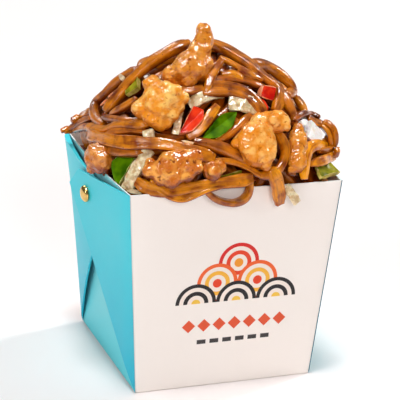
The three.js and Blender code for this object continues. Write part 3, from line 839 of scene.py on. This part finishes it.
def even(path):
    lengths = np.concatenate(([0], np.cumsum(np.linalg.norm(np.diff(path, axis=0), axis=1))))
    marks = np.linspace(0, lengths[-1], PATH_PLACES)
    return np.stack([np.interp(marks, lengths, path[:, k]) for k in range(3)], axis=1)


def soften(values, passes):
    """Evens out a run of values or places without moving its ends."""
    for _ in range(passes):
        values[1:-1] = (values[:-2] + 2 * values[1:-1] + values[2:]) / 4
    return values


def unit(vectors):
    return vectors / np.linalg.norm(vectors, axis=-1, keepdims=True)


def lay_noodle(model, path, width, thickness, roll, tone, number):
    """A copy of the straight noodle bent along a path of places. roll gives the turn of its flat
    section about the path, in radians, at each place."""
    noodle = new_object("noodle_copy", model.data.copy())
    points = points_of(noodle) / MM
    share = np.clip(points[:, 0], 0, 1)
    swell = (points[:, 0] - share) * END_SWELL
    length = np.linalg.norm(np.diff(path, axis=0), axis=1).sum()
    marks = np.linspace(0, 1, len(path))
    ahead = unit(np.gradient(path, axis=0))
    outward = unit(path - HEAP_HEART)
    flat = unit(np.cross(ahead, outward))
    thick = np.cross(flat, ahead)
    turned_flat = flat * np.cos(roll)[:, None] + thick * np.sin(roll)[:, None]
    turned_thick = thick * np.cos(roll)[:, None] - flat * np.sin(roll)[:, None]

    def at(values):
        return np.stack([np.interp(share, marks, values[:, k]) for k in range(3)], axis=1)

    along = share * length
    from_end = np.minimum(along, length - along)
    uneven = 1 + sum(part * np.sin(along / run + turn * number) for part, run, turn in UNEVENNESS)
    uneven *= 1 - END_TAPER * np.exp(-((from_end / END_TAPER_REACH) ** 2))
    cup = CUP * math.sin(5 * number) * (4 * points[:, 1] ** 2 - CUP_MIDDLE)
    across = points[:, 1] * width * uneven
    deep = (points[:, 2] + cup * (width / NOODLE_WIDTH)) * thickness * uneven
    places = at(path) + at(ahead) * swell[:, None]
    places += at(turned_flat) * across[:, None] + at(turned_thick) * deep[:, None]
    noodle.data.vertices.foreach_set("co", (places * MM).ravel())
    grain = np.stack((along * GRAIN_STRETCH + GRAIN_APART * number, across, deep), axis=1)
    noodle.data.attributes["grain"].data.foreach_set("vector", grain.ravel())
    noodle.data.attributes["tone"].data.foreach_set("value", np.full(len(points), tone))
    return noodle


# Noodles whose course is set, as (width, thickness, roll at start and end in degrees, tone, lift,
# pixels of the camera's picture that the noodle passes). Tone runs from 0, dark with soy, to 1.
SET_NOODLES = [
    # from the crown down the left
    (5.6, 4.2, (10, 30), 0.42, 2.2,
     [(190, 43), (178, 47), (165, 54), (152, 62), (139, 73), (130, 82), (122, 92), (114, 101),
      (106, 111)]),
    (4.6, 3.8, (0, 40), 0.36, 2.0,
     [(137, 70), (127, 75), (114, 84), (103, 95), (96, 102), (93.5, 110), (96, 118), (103, 124)]),
    (3.6, 3.2, (0, 10), 0.45, 4.0, [(136, 99), (124, 107), (111, 113.5)]),
    (4.8, 4.0, (0, 0), 0.5, 2.5, [(92, 112), (82, 116.5), (72, 121)]),
    (3.4, 3.0, (0, 0), 0.3, 3.5, [(61.5, 131), (72, 127), (85, 121), (92, 118)]),
    (3.4, 3.0, (0, 0), 0.55, 3.5, [(65, 131.5), (75, 129.5), (86, 127), (97, 127)]),
    (3.4, 3.0, (20, 20), 0.3, 3.0,
     [(103, 117.5), (117, 119.5), (130, 121), (141, 120.5), (148, 121.5)]),
    (5.2, 3.4, (50, 0), 0.5, 3.0,
     [(88.7, 125.5), (96, 129), (103, 130), (110, 127.5), (118, 124.5), (130, 124), (141, 124.8),
      (148, 123)]),
    (4.2, 3.6, (0, 30), 0.35, 2.0, [(108, 132), (120, 131.5), (134, 131), (146, 133)]),
    # across the front
    (5.8, 4.2, (-10, 10), 0.55, 5.2,
     [(89.5, 134.5), (101, 138), (113.5, 141), (125, 142.8), (137, 143.2), (150, 143.8), (163, 144.5),
      (176, 147), (190, 151), (203, 155.5), (214, 159)]),
    (4.8, 3.8, (0, 20), 0.3, 0.4, [(98, 143), (108, 148.5), (120, 152), (134, 151.5), (146, 153)]),
    (5.8, 4.2, (10, 0), 0.34, 3.2, [(194, 141), (210, 144.5), (224, 149), (238, 155.5), (250, 163)]),
    (2.8, 2.4, (0, 0), 0.5, 4.2,
     [(215, 160), (226, 161), (238, 163.5), (249, 168.5), (257, 173.5), (266, 178)]),
    # along the front rim
    (5.6, 4.0, (0, 0), 0.6, 3.0,
     [(137, 181), (146, 187), (157, 190.2), (170, 190.6), (184, 188.5), (198, 186), (212, 184),
      (226, 182.3), (240, 180.5), (252, 178)]),
    (3.8, 3.2, (0, 30), 0.7, 4.2,
     [(151, 181), (158, 187), (166, 193), (175, 197.5), (184, 199), (193, 196), (202, 191.5),
      (212, 187.5), (224, 185)]),
    # round the chicken at the front
    (4.6, 3.8, (0, 0), 0.55, 4.0,
     [(275.5, 131), (281, 138), (285.5, 149), (284, 160), (278.5, 169.5), (270, 174.5), (260, 175.5)]),
    (6.2, 4.2, (0, 0), 0.22, 1.5, [(288, 141), (291.5, 152), (292.5, 162), (291, 175)]),
    # the loops at the right
    (5.4, 4.2, (0, 0), 0.95, 4.0,
     [(327, 146), (314, 145.5), (307, 150), (304.5, 160), (304, 171), (304.5, 179)]),
    (4.4, 3.6, (0, 0), 0.85, 3.0, [(310, 164), (322, 160.5), (332, 155.5), (338, 149.5)]),
    (4.4, 2.6, (0, 60), 0.45, 4.0,
     [(309, 118), (314, 123), (321, 124), (328, 124), (333.5, 129.5), (335, 139), (332, 147.5),
      (326, 150.5), (319, 150)]),
    (7.5, 2.6, (20, 0), 0.6, 3.2, [(322, 126), (328, 132), (330, 139.5), (326, 146), (318, 148)]),
    (3.2, 2.6, (0, 30), 0.16, 3.5,
     [(294.5, 119.5), (299, 115.5), (305, 113.5), (312, 114), (319, 117)]),
    (5.4, 4.0, (0, 0), 0.35, 2.5, [(283, 94), (288, 104), (291.5, 112), (294.5, 120)]),
    (5.2, 4.0, (0, 0), 0.7, 2.0, [(296, 97), (301, 105), (305, 113)]),
    # from the crown down the right
    (6.2, 4.4, (0, 20), 0.42, 2.5,
     [(207, 41.5), (213, 44), (229, 52), (244, 61), (256, 71.5), (267, 80), (275.5, 86), (280, 94),
      (278, 103), (275, 111)]),
    (6.0, 4.4, (0, 0), 0.4, 1.5,
     [(250, 64), (264, 65.5), (276, 71.5), (286, 79.5), (292, 86), (292.5, 91.5), (287, 95)]),
    (4.6, 3.8, (0, 0), 0.28, 2.5,
     [(205, 87), (215, 85), (229.5, 86.5), (244.5, 90.5), (254.5, 98), (261.5, 107), (265, 115)]),
    (4.6, 3.8, (0, 0), 0.38, 3.2,
     [(203, 93), (216, 92), (230, 91.8), (243, 96.5), (253, 104), (259, 113)]),
    (4.0, 3.6, (0, 0), 0.2, 2.0, [(213, 81), (232, 80), (247, 81.5), (262, 87)]),
    (3.0, 2.8, (0, 0), 0.62, 3.5, [(220, 57.5), (234.5, 65), (250, 74), (262, 80)]),
    (5.4, 4.2, (0, 0), 0.62, 2.5, [(222, 75), (232, 74.5), (242, 79)]),
    (5.0, 4.0, (0, 0), 0.58, 2.2, [(238, 70), (248, 74), (259, 79.5)]),
    (3.6, 3.2, (0, 0), 0.6, 4.5, [(221.5, 61), (215, 70), (210, 81), (206, 92)]),
    (4.0, 3.6, (0, 0), 0.5, 2.5, [(178, 90), (190, 91), (203, 88.5)]),
    # between the pieces of pepper
    (4.8, 3.8, (20, 0), 0.68, 3.0, [(217, 106), (210.5, 115), (205, 124), (197, 133), (188, 138)]),
    (4.8, 3.8, (0, 0), 0.35, 2.0, [(250, 115), (241, 124), (230, 133), (216, 140)]),
    (4.6, 3.8, (0, 0), 0.2, 0.5, [(232, 118), (240, 127), (236, 138)]),
]

# Noodles that hang over the front rim, on a plane that stands off the front panel:
# (width, thickness, roll, tone, stand-off, pixels).
HANGING_NOODLES = [
    (4.2, 2.8, (90, 70), 0.62, 3.4,
     [(203, 187), (208, 193), (215, 198.5), (224, 202), (234, 203), (242, 200.5), (247.5, 195),
      (250, 187), (251, 179)]),
    (5.8, 4.2, (0, 0), 0.9, 3.4, [(271.5, 169), (274, 176), (276.5, 184), (278, 193), (279, 204)]),
]


COURSE_PASSES = 6  # that even out a set course


def rolls(start, end):
    return np.radians(np.linspace(start, end, PATH_PLACES))


def set_paths():
    """The path and looks of every noodle whose course is set."""
    for width, thickness, roll, tone, lift, pixels in SET_NOODLES:
        places = [on_heap(px, py, lift) for px, py in pixels]
        yield soften(spline(places), COURSE_PASSES), width, thickness, rolls(*roll), tone
    for width, thickness, roll, tone, stand_off, pixels in HANGING_NOODLES:
        places = [on_front(px, py, stand_off) for px, py in pixels]
        yield spline(places), width, thickness, rolls(*roll), tone


LOOSE_SEED = 7
LOOSE_COUNT = 280
LOOSE_PIECES = 3
LOOSE_STEP = 1.6  # between the places of a loose noodle
LOOSE_TRIES = 10
LOOSE_SQUEEZE = 1.8  # a noodle squeezed by more than this, on average, is left out
LOOSE_PROUD = 0.8  # how far a loose noodle may stand out from the heap's outline
LOOSE_LOW = 0.09  # sine of the lowest direction from the heap's heart that a loose noodle takes
TURN_BACK_UNDER, TURN_BACK = 0.15, 0.12  # sine under which it heads up again, and how strongly
LOOSE_LENGTHS = (18, 58)  # steps
LOOSE_WIDTHS, LOOSE_THICKNESSES = (0.72, 1.05), (0.8, 1.05)  # shares of the full size
FIRST_BEND, BEND_KEPT, BEND_CHANGE = 0.03, 0.92, 0.016  # of its course, from step to step
LOOSE_NEAR = 0.75  # two noodles nearer than this share of a width lie on each other
SQUEEZE_WEIGHT = 3  # against height, where a noodle picks its place
LOOSE_TONE, SHADE_BY_HEIGHT, TONE_SPREAD = 0.52, 0.05, 0.2  # a noodle that lies deep is painted darker, as painted shade
TONE_RANGE = (0.02, 0.95)
LOOSE_SWING, LOOSE_TWIST, TWIST_TURNS = 0.5, 0.5, (1, 5)  # radians
SOFT, SOFTER, SOFTEST = 3, 6, 12  # passes that even out the height of a path
SOLID_STRIDE, PATH_STRIDE = 6, 4  # a lid keeps one vertex or place out of so many
LID_SPREAD = 4.5  # round each place of a lid
CHICKEN_ROOM, CUT_ROOM = 3.0, 1.2  # kept clear under the chicken and under the other food


def wander(rng):
    """A random course over the heap as directions from its heart: it sets out anywhere, keeps
    turning a little, and turns back where it nears the rim."""
    height = rng.uniform(LOOSE_LOW, 1)
    turn = rng.uniform(0, 2 * math.pi)
    level = math.sqrt(1 - height**2)
    here = np.array((level * math.cos(turn), level * math.sin(turn), height))
    heading = unit(np.cross(here, rng.normal(size=3)))
    bend = rng.normal(0, FIRST_BEND)
    course = [here]
    for _ in range(int(rng.uniform(*LOOSE_LENGTHS))):
        bend = BEND_KEPT * bend + rng.normal(0, BEND_CHANGE)
        heading = heading + bend * np.cross(here, heading)
        if here[2] < TURN_BACK_UNDER:
            heading[2] += TURN_BACK
        heading = unit(heading - here * (heading @ here))
        here = unit(here + heading * LOOSE_STEP / HEAP_REACH)
        if here[2] < LOOSE_LOW:
            here[2] = LOOSE_LOW
            here = unit(here)
        course.append(here)
    return np.array(course)


class Pile:
    """Where the noodles laid so far reach, so that the next one comes to lie on them."""

    def __init__(self):
        self.ground = np.empty((0, 3))
        self.tops = np.empty(0)
        self.lids = np.empty((0, 4))

    def add(self, ground, tops):
        self.ground = np.vstack((self.ground, ground))
        self.tops = np.concatenate((self.tops, tops))

    def add_lid(self, places, margin):
        """Nothing laid later comes nearer to these places from below than a margin."""
        directions = unit(places - HEAP_HEART)
        reach = np.linalg.norm(places - HEAP_HEART, axis=1) - margin
        self.lids = np.vstack((self.lids, np.column_stack((directions, reach))))

    def rest(self, directions, near, half):
        """How far out a noodle rests in each direction, and how much it is squeezed there."""
        floor = reach_of(past_core, directions)
        ground = HEAP_HEART + directions * floor[:, None]
        height = floor + half
        if len(self.tops):
            apart = np.linalg.norm(ground[:, None] - self.ground[None], axis=2)
            over = np.where(apart < near, self.tops[None], 0).max(axis=1)
            height = np.maximum(height, over + half)
        lid = reach_of(past_heap, directions) + LOOSE_PROUD - half
        lid = np.minimum(lid, reach_of(past_rim, directions))
        turn = directions @ self.lids[:, :3].T
        under = turn > math.cos(LID_SPREAD / HEAP_REACH)
        lids = np.where(under, self.lids[None, :, 3], np.inf).min(axis=1)
        lid = np.minimum(lid, lids - half)
        squeeze = np.clip(height - lid, 0, None)
        return ground, np.minimum(height, lid), lid, squeeze


def loose_paths(pile):
    """Noodles laid one by one on the core and on each other, each in the lowest of a few places."""
    rng = np.random.default_rng(LOOSE_SEED)
    for _ in range(LOOSE_COUNT):
        half = NOODLE_THICKNESS / 2 * rng.uniform(*LOOSE_THICKNESSES)
        width = NOODLE_WIDTH * rng.uniform(*LOOSE_WIDTHS)
        best = None
        for _ in range(LOOSE_TRIES):
            directions = wander(rng)
            ground, height, lid, squeeze = pile.rest(directions, LOOSE_NEAR * width, half)
            over_core = (height - reach_of(past_core, directions)).mean()
            score = over_core + SQUEEZE_WEIGHT * squeeze.mean()
            if best is None or score < best[0]:
                best = (score, directions, ground, height, lid, squeeze.mean())
        _, directions, ground, height, lid, squeeze = best
        if squeeze > LOOSE_SQUEEZE:
            continue
        draped = soften(np.maximum(height, soften(height.copy(), SOFTEST)), SOFTER)
        height = soften(np.minimum(draped, lid), SOFT)
        pile.add(ground, height + half)
        path = even(HEAP_HEART + directions * height[:, None])
        swing = rng.uniform(-LOOSE_SWING, LOOSE_SWING)
        turns = np.linspace(0, rng.uniform(*TWIST_TURNS), PATH_PLACES) + rng.uniform(0, 6)
        roll = swing + LOOSE_TWIST * np.sin(turns)
        proud = (height - reach_of(past_heap, directions)).mean()
        # Painted shade: the deeper a loose noodle lies under the heap's outline, the darker its tone.
        tone = LOOSE_TONE + SHADE_BY_HEIGHT * proud + rng.normal(0, TONE_SPREAD)
        yield path, width, 2 * half, roll, np.clip(tone, *TONE_RANGE)


def make_noodles(look):
    model = model_noodle()
    pile = Pile()
    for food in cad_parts:
        if food.startswith(("chicken", "pepper", "onion")):
            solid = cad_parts[food].data
            surface = [vertex.co / MM for vertex in list(solid.vertices)[::SOLID_STRIDE]]
            surface += [face.center / MM for face in solid.polygons]
            room = CHICKEN_ROOM if food.startswith("chicken") else CUT_ROOM
            pile.add_lid(np.array(surface), room)
    placed = list(set_paths())
    for path, _, thickness, _, _ in placed:
        pile.add_lid(path[::PATH_STRIDE], thickness / 2)
    loose = list(loose_paths(pile))
    laid = {"noodles_set": placed}
    laid |= {f"noodles_loose_{part + 1}": loose[part::LOOSE_PIECES] for part in range(LOOSE_PIECES)}
    for name, paths in laid.items():
        copies = [lay_noodle(model, *course, number) for number, course in enumerate(paths)]
        finish_piece(join(copies, name), "noodles", ["noodle_heap"], look)
    bpy.data.objects.remove(model)


def make_core(look):
    """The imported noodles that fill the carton, a little smaller than the heap."""
    bpy.ops.mesh.primitive_grid_add(x_subdivisions=CORE_GRID, y_subdivisions=CORE_GRID, size=2 * MM)
    core = added("noodle_core")
    across = half_width(CORE_FOOT) - CARD - CORE_GAP
    deep = half_depth(CORE_FOOT) - CARD - CORE_GAP

    def heap(x, y, z):
        place = Vector((x * across, y * deep, 0))
        ripple = sum(height * noise.noise(place / size) for height, size in CORE_RIPPLES)
        edge = min(1, CORE_EDGE_FADE * (1 - max(abs(x), abs(y))))
        return place.x, place.y, float(core_top(place.x, place.y)) + ripple * edge

    shape(core, heap)
    edit(core, "EDGE", lambda edge: False)
    bpy.ops.mesh.select_all(action="SELECT")
    bpy.ops.mesh.region_to_loop()
    bpy.ops.mesh.extrude_region_move(TRANSFORM_OT_translate={"value": (0, 0, -CORE_WALL * MM)})
    bpy.ops.transform.resize(value=CORE_TAPER, center_override=(0, 0, 0))
    bpy.ops.mesh.edge_face_add()
    done()
    face_out(core)
    smooth(core, 50)
    finish_piece(core, "noodles", ["noodle_heap"], look)


# ---- chicken ---------------------------------------------------------------------------------

def clouds(name, size, kind="SOFT_NOISE"):
    """A texture of soft or hard clouds of a size in millimetres, for a modifier."""
    texture = bpy.data.textures.new(name, "CLOUDS")
    texture.noise_scale = size * MM
    texture.noise_type = kind
    texture.noise_depth = 2
    return texture


# Knobs of batter, as (pixel, radius, how deep its middle lies), and dents, as (pixel, radius,
# depth), for the pieces that have them.
KNOBS = {
    1: [(146, 82, 3.4, 2.6), (153, 81, 3.2, 2.6), (181, 98, 3.6, 3.2), (160, 126, 3.0, 2.2),
        (137, 107, 2.6, 2.0), (145, 113, 3.2, 2.4), (150, 118, 3.0, 2.2), (174, 91, 3.0, 2.4),
        (177, 107, 3.8, 3.4), (171, 114, 3.8, 3.4), (165, 122, 3.6, 3.2), (166, 87, 3.0, 2.4)],
    2: [(258, 121, 3.8, 2.2), (267, 120, 3.8, 2.4), (274, 120, 3.6, 2.6), (286, 127, 2.4, 1.6),
        (236, 145, 3.0, 2.0), (266, 165, 3.4, 2.2)],
    3: [(150, 162, 2.8, 1.8), (166, 157, 3.0, 1.8), (198, 168, 2.8, 1.8), (180, 178, 3.0, 2),
        (149, 172, 3.6, 2.6), (160, 179, 3.8, 2.8), (172, 181, 3.8, 2.8), (187, 176, 3.4, 2.4)],
    4: [(91, 170, 2.6, 1.8), (104, 150, 2.6, 1.5), (108, 172, 2.8, 1.8), (92, 150, 2.6, 1.8)],
    5: [(196, 52, 4.2, 2.6), (190, 62, 4.4, 2.4), (182, 70, 5.0, 2.6), (172, 75, 4.6, 2.4),
        (164, 78, 3.6, 1.6),
        (175, 81, 4.4, 3.4), (188, 80, 4.6, 3.4), (201, 75, 4.6, 3.4), (206, 64, 3.6, 2.6),
        (196, 70, 4.6, 3.0),
        (209, 27, 1.3, 0.8), (211, 33, 1.4, 0.8), (210.5, 39, 1.4, 0.8), (207, 48, 2.6, 1.4)],
    7: [(298, 126, 2.8, 1.8), (291, 170, 2.6, 1.8)],
}
SCATTERED_KNOBS, SCATTERED_RADII, SCATTERED_SINK = 7, (2.6, 3.8), 0.75
SCATTER_REACH = 12.0  # knobs are thrown at a piece from this far round its middle
CRUST_VOXEL = 0.45
CRUST_SMOOTHING, SMOOTH_PASSES, SMOOTHEST_PASSES = 0.6, 12, 40
SMOOTH_CHICKEN = (3, 5)
DENTS = {
    1: [(131, 95, 4.0, 1.6)],
    2: [(236, 160, 6.5, 3.0), (237, 128, 5.0, 2.2), (278, 165, 4.5, 1.4), (254, 170, 4.0, 1.0)],
}


def touch(piece, px, py):
    """Where the line of sight through a pixel meets a piece, or the place on the piece nearest
    to where it passes by, and that line's direction."""
    line = Vector(sight(px, py))
    met, seat, _, _ = piece.ray_cast(Vector(CAMERA_PLACE * MM), line)
    if not met:
        far = (middle_of(piece) - Vector(CAMERA_PLACE * MM)).dot(Vector(AHEAD))
        _, seat, _, _ = piece.closest_point_on_mesh(Vector(CAMERA_PLACE * MM) + line * far)
    return seat, line.normalized()


def dent(piece, px, py, radius, depth):
    """Pushes the side of a piece in towards its middle."""
    seat, line = touch(piece, px, py)
    inward = middle_of(piece) - seat
    inward = (inward - line * inward.dot(line)).normalized()
    points = points_of(piece)
    apart = np.linalg.norm(points - np.array(seat), axis=1) / (radius * MM)
    points += np.exp(-(apart**2))[:, None] * np.array(inward) * depth * MM
    piece.data.vertices.foreach_set("co", points.ravel())
    piece.data.update()


def make_knob(place, radius):
    bpy.ops.mesh.primitive_ico_sphere_add(subdivisions=3, radius=radius * MM, location=place)
    return added("knob")


def set_knobs(piece, number):
    """Knobs of batter where a piece has them."""
    knobs = []
    for px, py, radius, sink in KNOBS.get(number, []):
        seat, line = touch(piece, px, py)
        knobs.append(make_knob(seat + line * sink * MM, radius))
    return knobs


def scattered_knobs(piece, number):
    """Knobs all round a piece that has none of its own."""
    rng = np.random.default_rng(number)
    middle = middle_of(piece)
    knobs = []
    for _ in range(SCATTERED_KNOBS):
        away = Vector(unit(rng.normal(size=3))) * SCATTER_REACH * MM
        _, seat, normal, _ = piece.closest_point_on_mesh(middle + away)
        radius = rng.uniform(*SCATTERED_RADII)
        knobs.append(make_knob(seat - normal * SCATTERED_SINK * radius * MM, radius))
    return knobs


def make_chicken(number, look, reliefs):
    """A piece of fried chicken: the lobes of its solid with knobs of batter on them, fused,
    dented and roughened in three sizes."""
    node = f"chicken_{number}"
    piece = copy_of_node(node, f"{node}_fried")
    knobs = set_knobs(piece, number) or scattered_knobs(piece, number)
    piece = join([piece, *knobs], f"{node}_fried")
    modify(piece, "REMESH", mode="VOXEL", voxel_size=CRUST_VOXEL * MM)
    passes = SMOOTHEST_PASSES if number in SMOOTH_CHICKEN else SMOOTH_PASSES
    modify(piece, "SMOOTH", factor=CRUST_SMOOTHING, iterations=passes)
    for place in DENTS.get(number, []):
        dent(piece, *place)
    for relief in reliefs:
        displace(piece, *relief)
    smooth(piece)
    finish_piece(piece, "chicken", [node], look)


def make_chickens():
    pale = batter("pale golden batter", "FFCA6C", "EC9018", "C06A10", 0.5)
    golden = batter("golden batter", "FFC066", "E88A18", "C06810", 0.6)
    amber = batter("glazed amber batter", "F0A23C", "D47C14", "A45206", 0.9)
    sauced = batter("sauced golden batter", "F8AE4C", "CC6C0E", "7C3004", 1.0)
    dark = batter("soy stained batter", "ECA04C", "C86E1C", "943C06", 1.0)
    looks = (pale, golden, sauced, dark, amber, sauced, amber, golden, amber, pale)
    reliefs = (
        (clouds("batter lumps", 7.5), 2.2),
        (clouds("batter folds", 2.8), 0.7),
        (clouds("batter crumbs", 0.9, "HARD_NOISE"), 0.35, 0.3),
    )
    for number, look in enumerate(looks, 1):
        make_chicken(number, look, reliefs)


# ---- peppers and onion -----------------------------------------------------------------------

SLICE_FACING = 0.35  # cosine up to which a face still belongs to a slice's broad sides
SCRAP_BEVEL = 0.2  # of a scrap's thickness


def make_slice(node, looks, slot, bevel, waves):
    """A cut of pepper or onion: its solid with softened edges, a little waved. looks are its
    outside, its inside and its cut rim."""
    piece = copy_of_node(node, f"{node}_cut")
    faces = piece.data.polygons
    widest = max(faces, key=lambda face: face.area).normal.copy()
    middle = (sum((Vector(corner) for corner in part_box(node)), Vector()) / 2) / MM
    if widest.dot(middle - Vector(HEAP_HEART)) < 0:
        widest.negate()
    for face in faces:
        facing = face.normal.dot(widest)
        face.material_index = 0 if facing > SLICE_FACING else 1 if facing < -SLICE_FACING else 2
    round_edges(piece, bevel)
    modify(piece, "SUBSURF", levels=3, render_levels=3, subdivision_type="CATMULL_CLARK")
    modify(piece, "SMOOTH", factor=0.5, iterations=10)
    for wave in waves:
        displace(piece, *wave)
    smooth(piece)
    finish_piece(piece, slot, [node], *looks)


# Scraps too small to carry anything: (slot, look, thickness, lift, pixels of the outline).
SCRAPS = [
    ("onion", "onion", 1.2, 5.0, [(119, 75), (122, 74), (124.6, 77), (122, 81), (119.5, 79)]),
    ("onion", "pale", 1.2, 6.0, [(181, 140.5), (187, 140.5), (194, 142.5), (193, 144.3), (186, 143.8)]),
    ("onion", "onion", 1.6, 3.0,
     [(126, 191), (131, 189), (138, 189.5), (143, 192.5), (141, 194.6), (132, 194)]),
    ("onion", "white", 2.4, 5.0, [(299.5, 121), (303, 119), (306.5, 121), (306, 126), (301, 126.5)]),
    ("red_pepper", "red", 2.2, 1.5,
     [(259, 99), (264, 100.5), (268, 108), (266.5, 113), (261, 110), (258, 104)]),
]


def make_scrap(number, slot, look, thickness, lift, pixels):
    """A small flat scrap lying on the heap, drawn by its outline."""
    bpy.ops.mesh.primitive_circle_add(vertices=len(pixels), radius=MM, fill_type="NGON")
    scrap = added(f"scrap_{number}")
    for vertex, (px, py) in zip(scrap.data.vertices, pixels):
        vertex.co = Vector(on_heap(px, py, lift)) * MM
    modify(scrap, "SOLIDIFY", thickness=thickness * MM, offset=0)
    face_out(scrap)
    round_edges(scrap, SCRAP_BEVEL * thickness)
    modify(scrap, "SUBSURF", levels=2, render_levels=2)
    smooth(scrap)
    finish_piece(scrap, slot, [], look)


def make_vegetables():
    soft = (clouds("soft waves", 6), 1.4)
    limp = ((clouds("limp waves", 6), 2.2), (clouds("limp ripples", 2.4), 0.7))
    green = [
        vegetable("green pepper skin", "2A5400", "669400", 7, 0.0),
        vegetable("green pepper flesh", "86A020", "AABA48", 6, 0.12),
        vegetable("green pepper cut", "A8B440", "D2D888", 5, 0.12),
    ]
    sauced = [
        vegetable("sauced green pepper skin", "5E6200", "A8A020", 6, 0.2),
        vegetable("sauced green pepper flesh", "A09828", "C4B450", 5, 0.2),
        vegetable("sauced green pepper cut", "A89A34", "CCB868", 4, 0.2),
    ]
    red = [
        vegetable("red pepper skin", "C80C00", "F03C10", 4, 0.7),
        vegetable("red pepper flesh", "E86020", "F48A50", 4, 0.5),
        vegetable("red pepper cut", "F08048", "FCB084", 3, 0.5),
    ]
    onion = onion_flesh("softened onion", "EADAB2", "CAA878", "A06A30")
    white = onion_flesh("fresh white onion", "FFFFFC", "FAF6F0", "F2E4D0")
    pale = onion_flesh("pale noodle crumb", "FFE2BC", "F4C890", "F0C080")
    for node in sorted(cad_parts):
        if node == "pepper_green_2":
            make_slice(node, [green[0], green[1], green[0]], "green_pepper", 0.5, [soft])
        elif node.startswith("pepper_green"):
            looks = sauced if node[-1] in "345" else green
            make_slice(node, looks, "green_pepper", 0.5, [soft])
        elif node.startswith("pepper_red"):
            make_slice(node, red, "red_pepper", 0.6, [soft])
        elif node.startswith("onion"):
            fresh = node == "onion_5"
            looks = [white if fresh else onion] * 3
            make_slice(node, looks, "onion", 0.35, [soft] if fresh else limp)
    scrap_looks = {"onion": onion, "white": white, "pale": pale, "red": red[0]}
    for number, (slot, look, *rest) in enumerate(SCRAPS, 1):
        make_scrap(number, slot, scrap_looks[look], *rest)


# ---- table, light and camera -----------------------------------------------------------------

FLOOR_SIZE = 8.0  # metres
FLOOR_TINT = (0.9, 0.845, 0.835, 1)
FLOOR_GLOW = 0.02  # a white sweep lit from behind
AIM = Vector((0, 0, 0.08))  # metres, the middle of the box
SENSOR, CLIP_START, CLIP_END = 36.0, 0.05, 20.0  # millimetres, metres, metres


def make_stage():
    bpy.ops.mesh.primitive_plane_add(size=FLOOR_SIZE)
    floor = added("floor")
    paper = material(
        "white paper floor", Roughness=0.9, Specular_IOR_Level=0.1, Base_Color=FLOOR_TINT,
        Emission_Color=(1, 1, 1, 1), Emission_Strength=FLOOR_GLOW,
    )[0]
    floor.data.materials.append(paper)


WORLD_STRENGTH = 0.14
# Name, place and width in metres, radiance, and whether it lights and whether it shows in gloss.
LIGHTS = (
    ("key from the right", (3.6, 1.15, 3.15), 0.75, 58, True, True),
    ("overhead", (-0.3, -0.45, 3.9), 0.75, 45, True, True),
    ("overhead sheen", (-0.5, -0.9, 3.6), 1.3, 36, False, True),
    ("front", (-0.3, -4.5, 2.2), 1.1, 16.5, True, False),
    ("left", (-4.2, -1.8, 2.1), 1.2, 12, True, True),
    ("back", (-0.6, 4.2, 3.0), 0.9, 18, True, True),
)


def add_light(name, place, size, radiance, lights, glossy):
    """A square soft light aimed at the middle of the box."""
    light = bpy.data.lights.new(name, "AREA")
    light.shape = "SQUARE"
    light.size = size
    light.energy = radiance * math.pi * size**2
    lamp = new_object(name, light)
    lamp.location = place
    lamp.rotation_euler = (AIM - Vector(place)).to_track_quat("-Z", "Y").to_euler()
    lamp.visible_diffuse = lights
    lamp.visible_glossy = glossy


def make_light():
    world = bpy.data.worlds.new("pale room")
    world.use_nodes = True
    sky = world.node_tree.nodes["Background"]
    fill(world.node_tree, sky, {"Color": (1, 1, 1, 1), "Strength": WORLD_STRENGTH})
    bpy.context.scene.world = world
    bpy.context.scene.view_settings.view_transform = "Standard"
    for light in LIGHTS:
        add_light(*light)


def make_camera():
    data = bpy.data.cameras.new("camera")
    data.sensor_width = SENSOR
    data.lens = FOCAL / PICTURE * SENSOR
    data.clip_start, data.clip_end = CLIP_START, CLIP_END
    camera = new_object("camera", data)
    pose = Matrix.Identity(4)
    for column, axis in enumerate((RIGHT, UP, -AHEAD, CAMERA_PLACE * MM)):
        for row in range(3):
            pose[row][column] = axis[row]
    camera.matrix_world = pose
    bpy.context.scene.camera = camera


# ---- assembly --------------------------------------------------------------------------------

make_camera()
make_stage()
make_light()
deselect()

white_board = white_card()[0]
web_board = turquoise_card("turquoise printed board", "00BEDC", "40DCEC", 90)
# The side panels take a paler copy of the turquoise board: painted light against the shade between the
# webs.
painted_light_panel_board = turquoise_card("turquoise printed board with painted light", "5EE0EC", "9CF2F8", 90)
make_carton(printed_card(), white_board, painted_light_panel_board, web_board, cut_card(), slot_shade_card())
rivet_brass = brass()
make_rivet("rivet_head_left", "rivet_left", -1, rivet_brass)
make_rivet("rivet_head_right", "rivet_right", 1, rivet_brass)
make_core(sauce_and_shade_core())
make_noodles(glazed_noodle())
make_chickens()
make_vegetables()
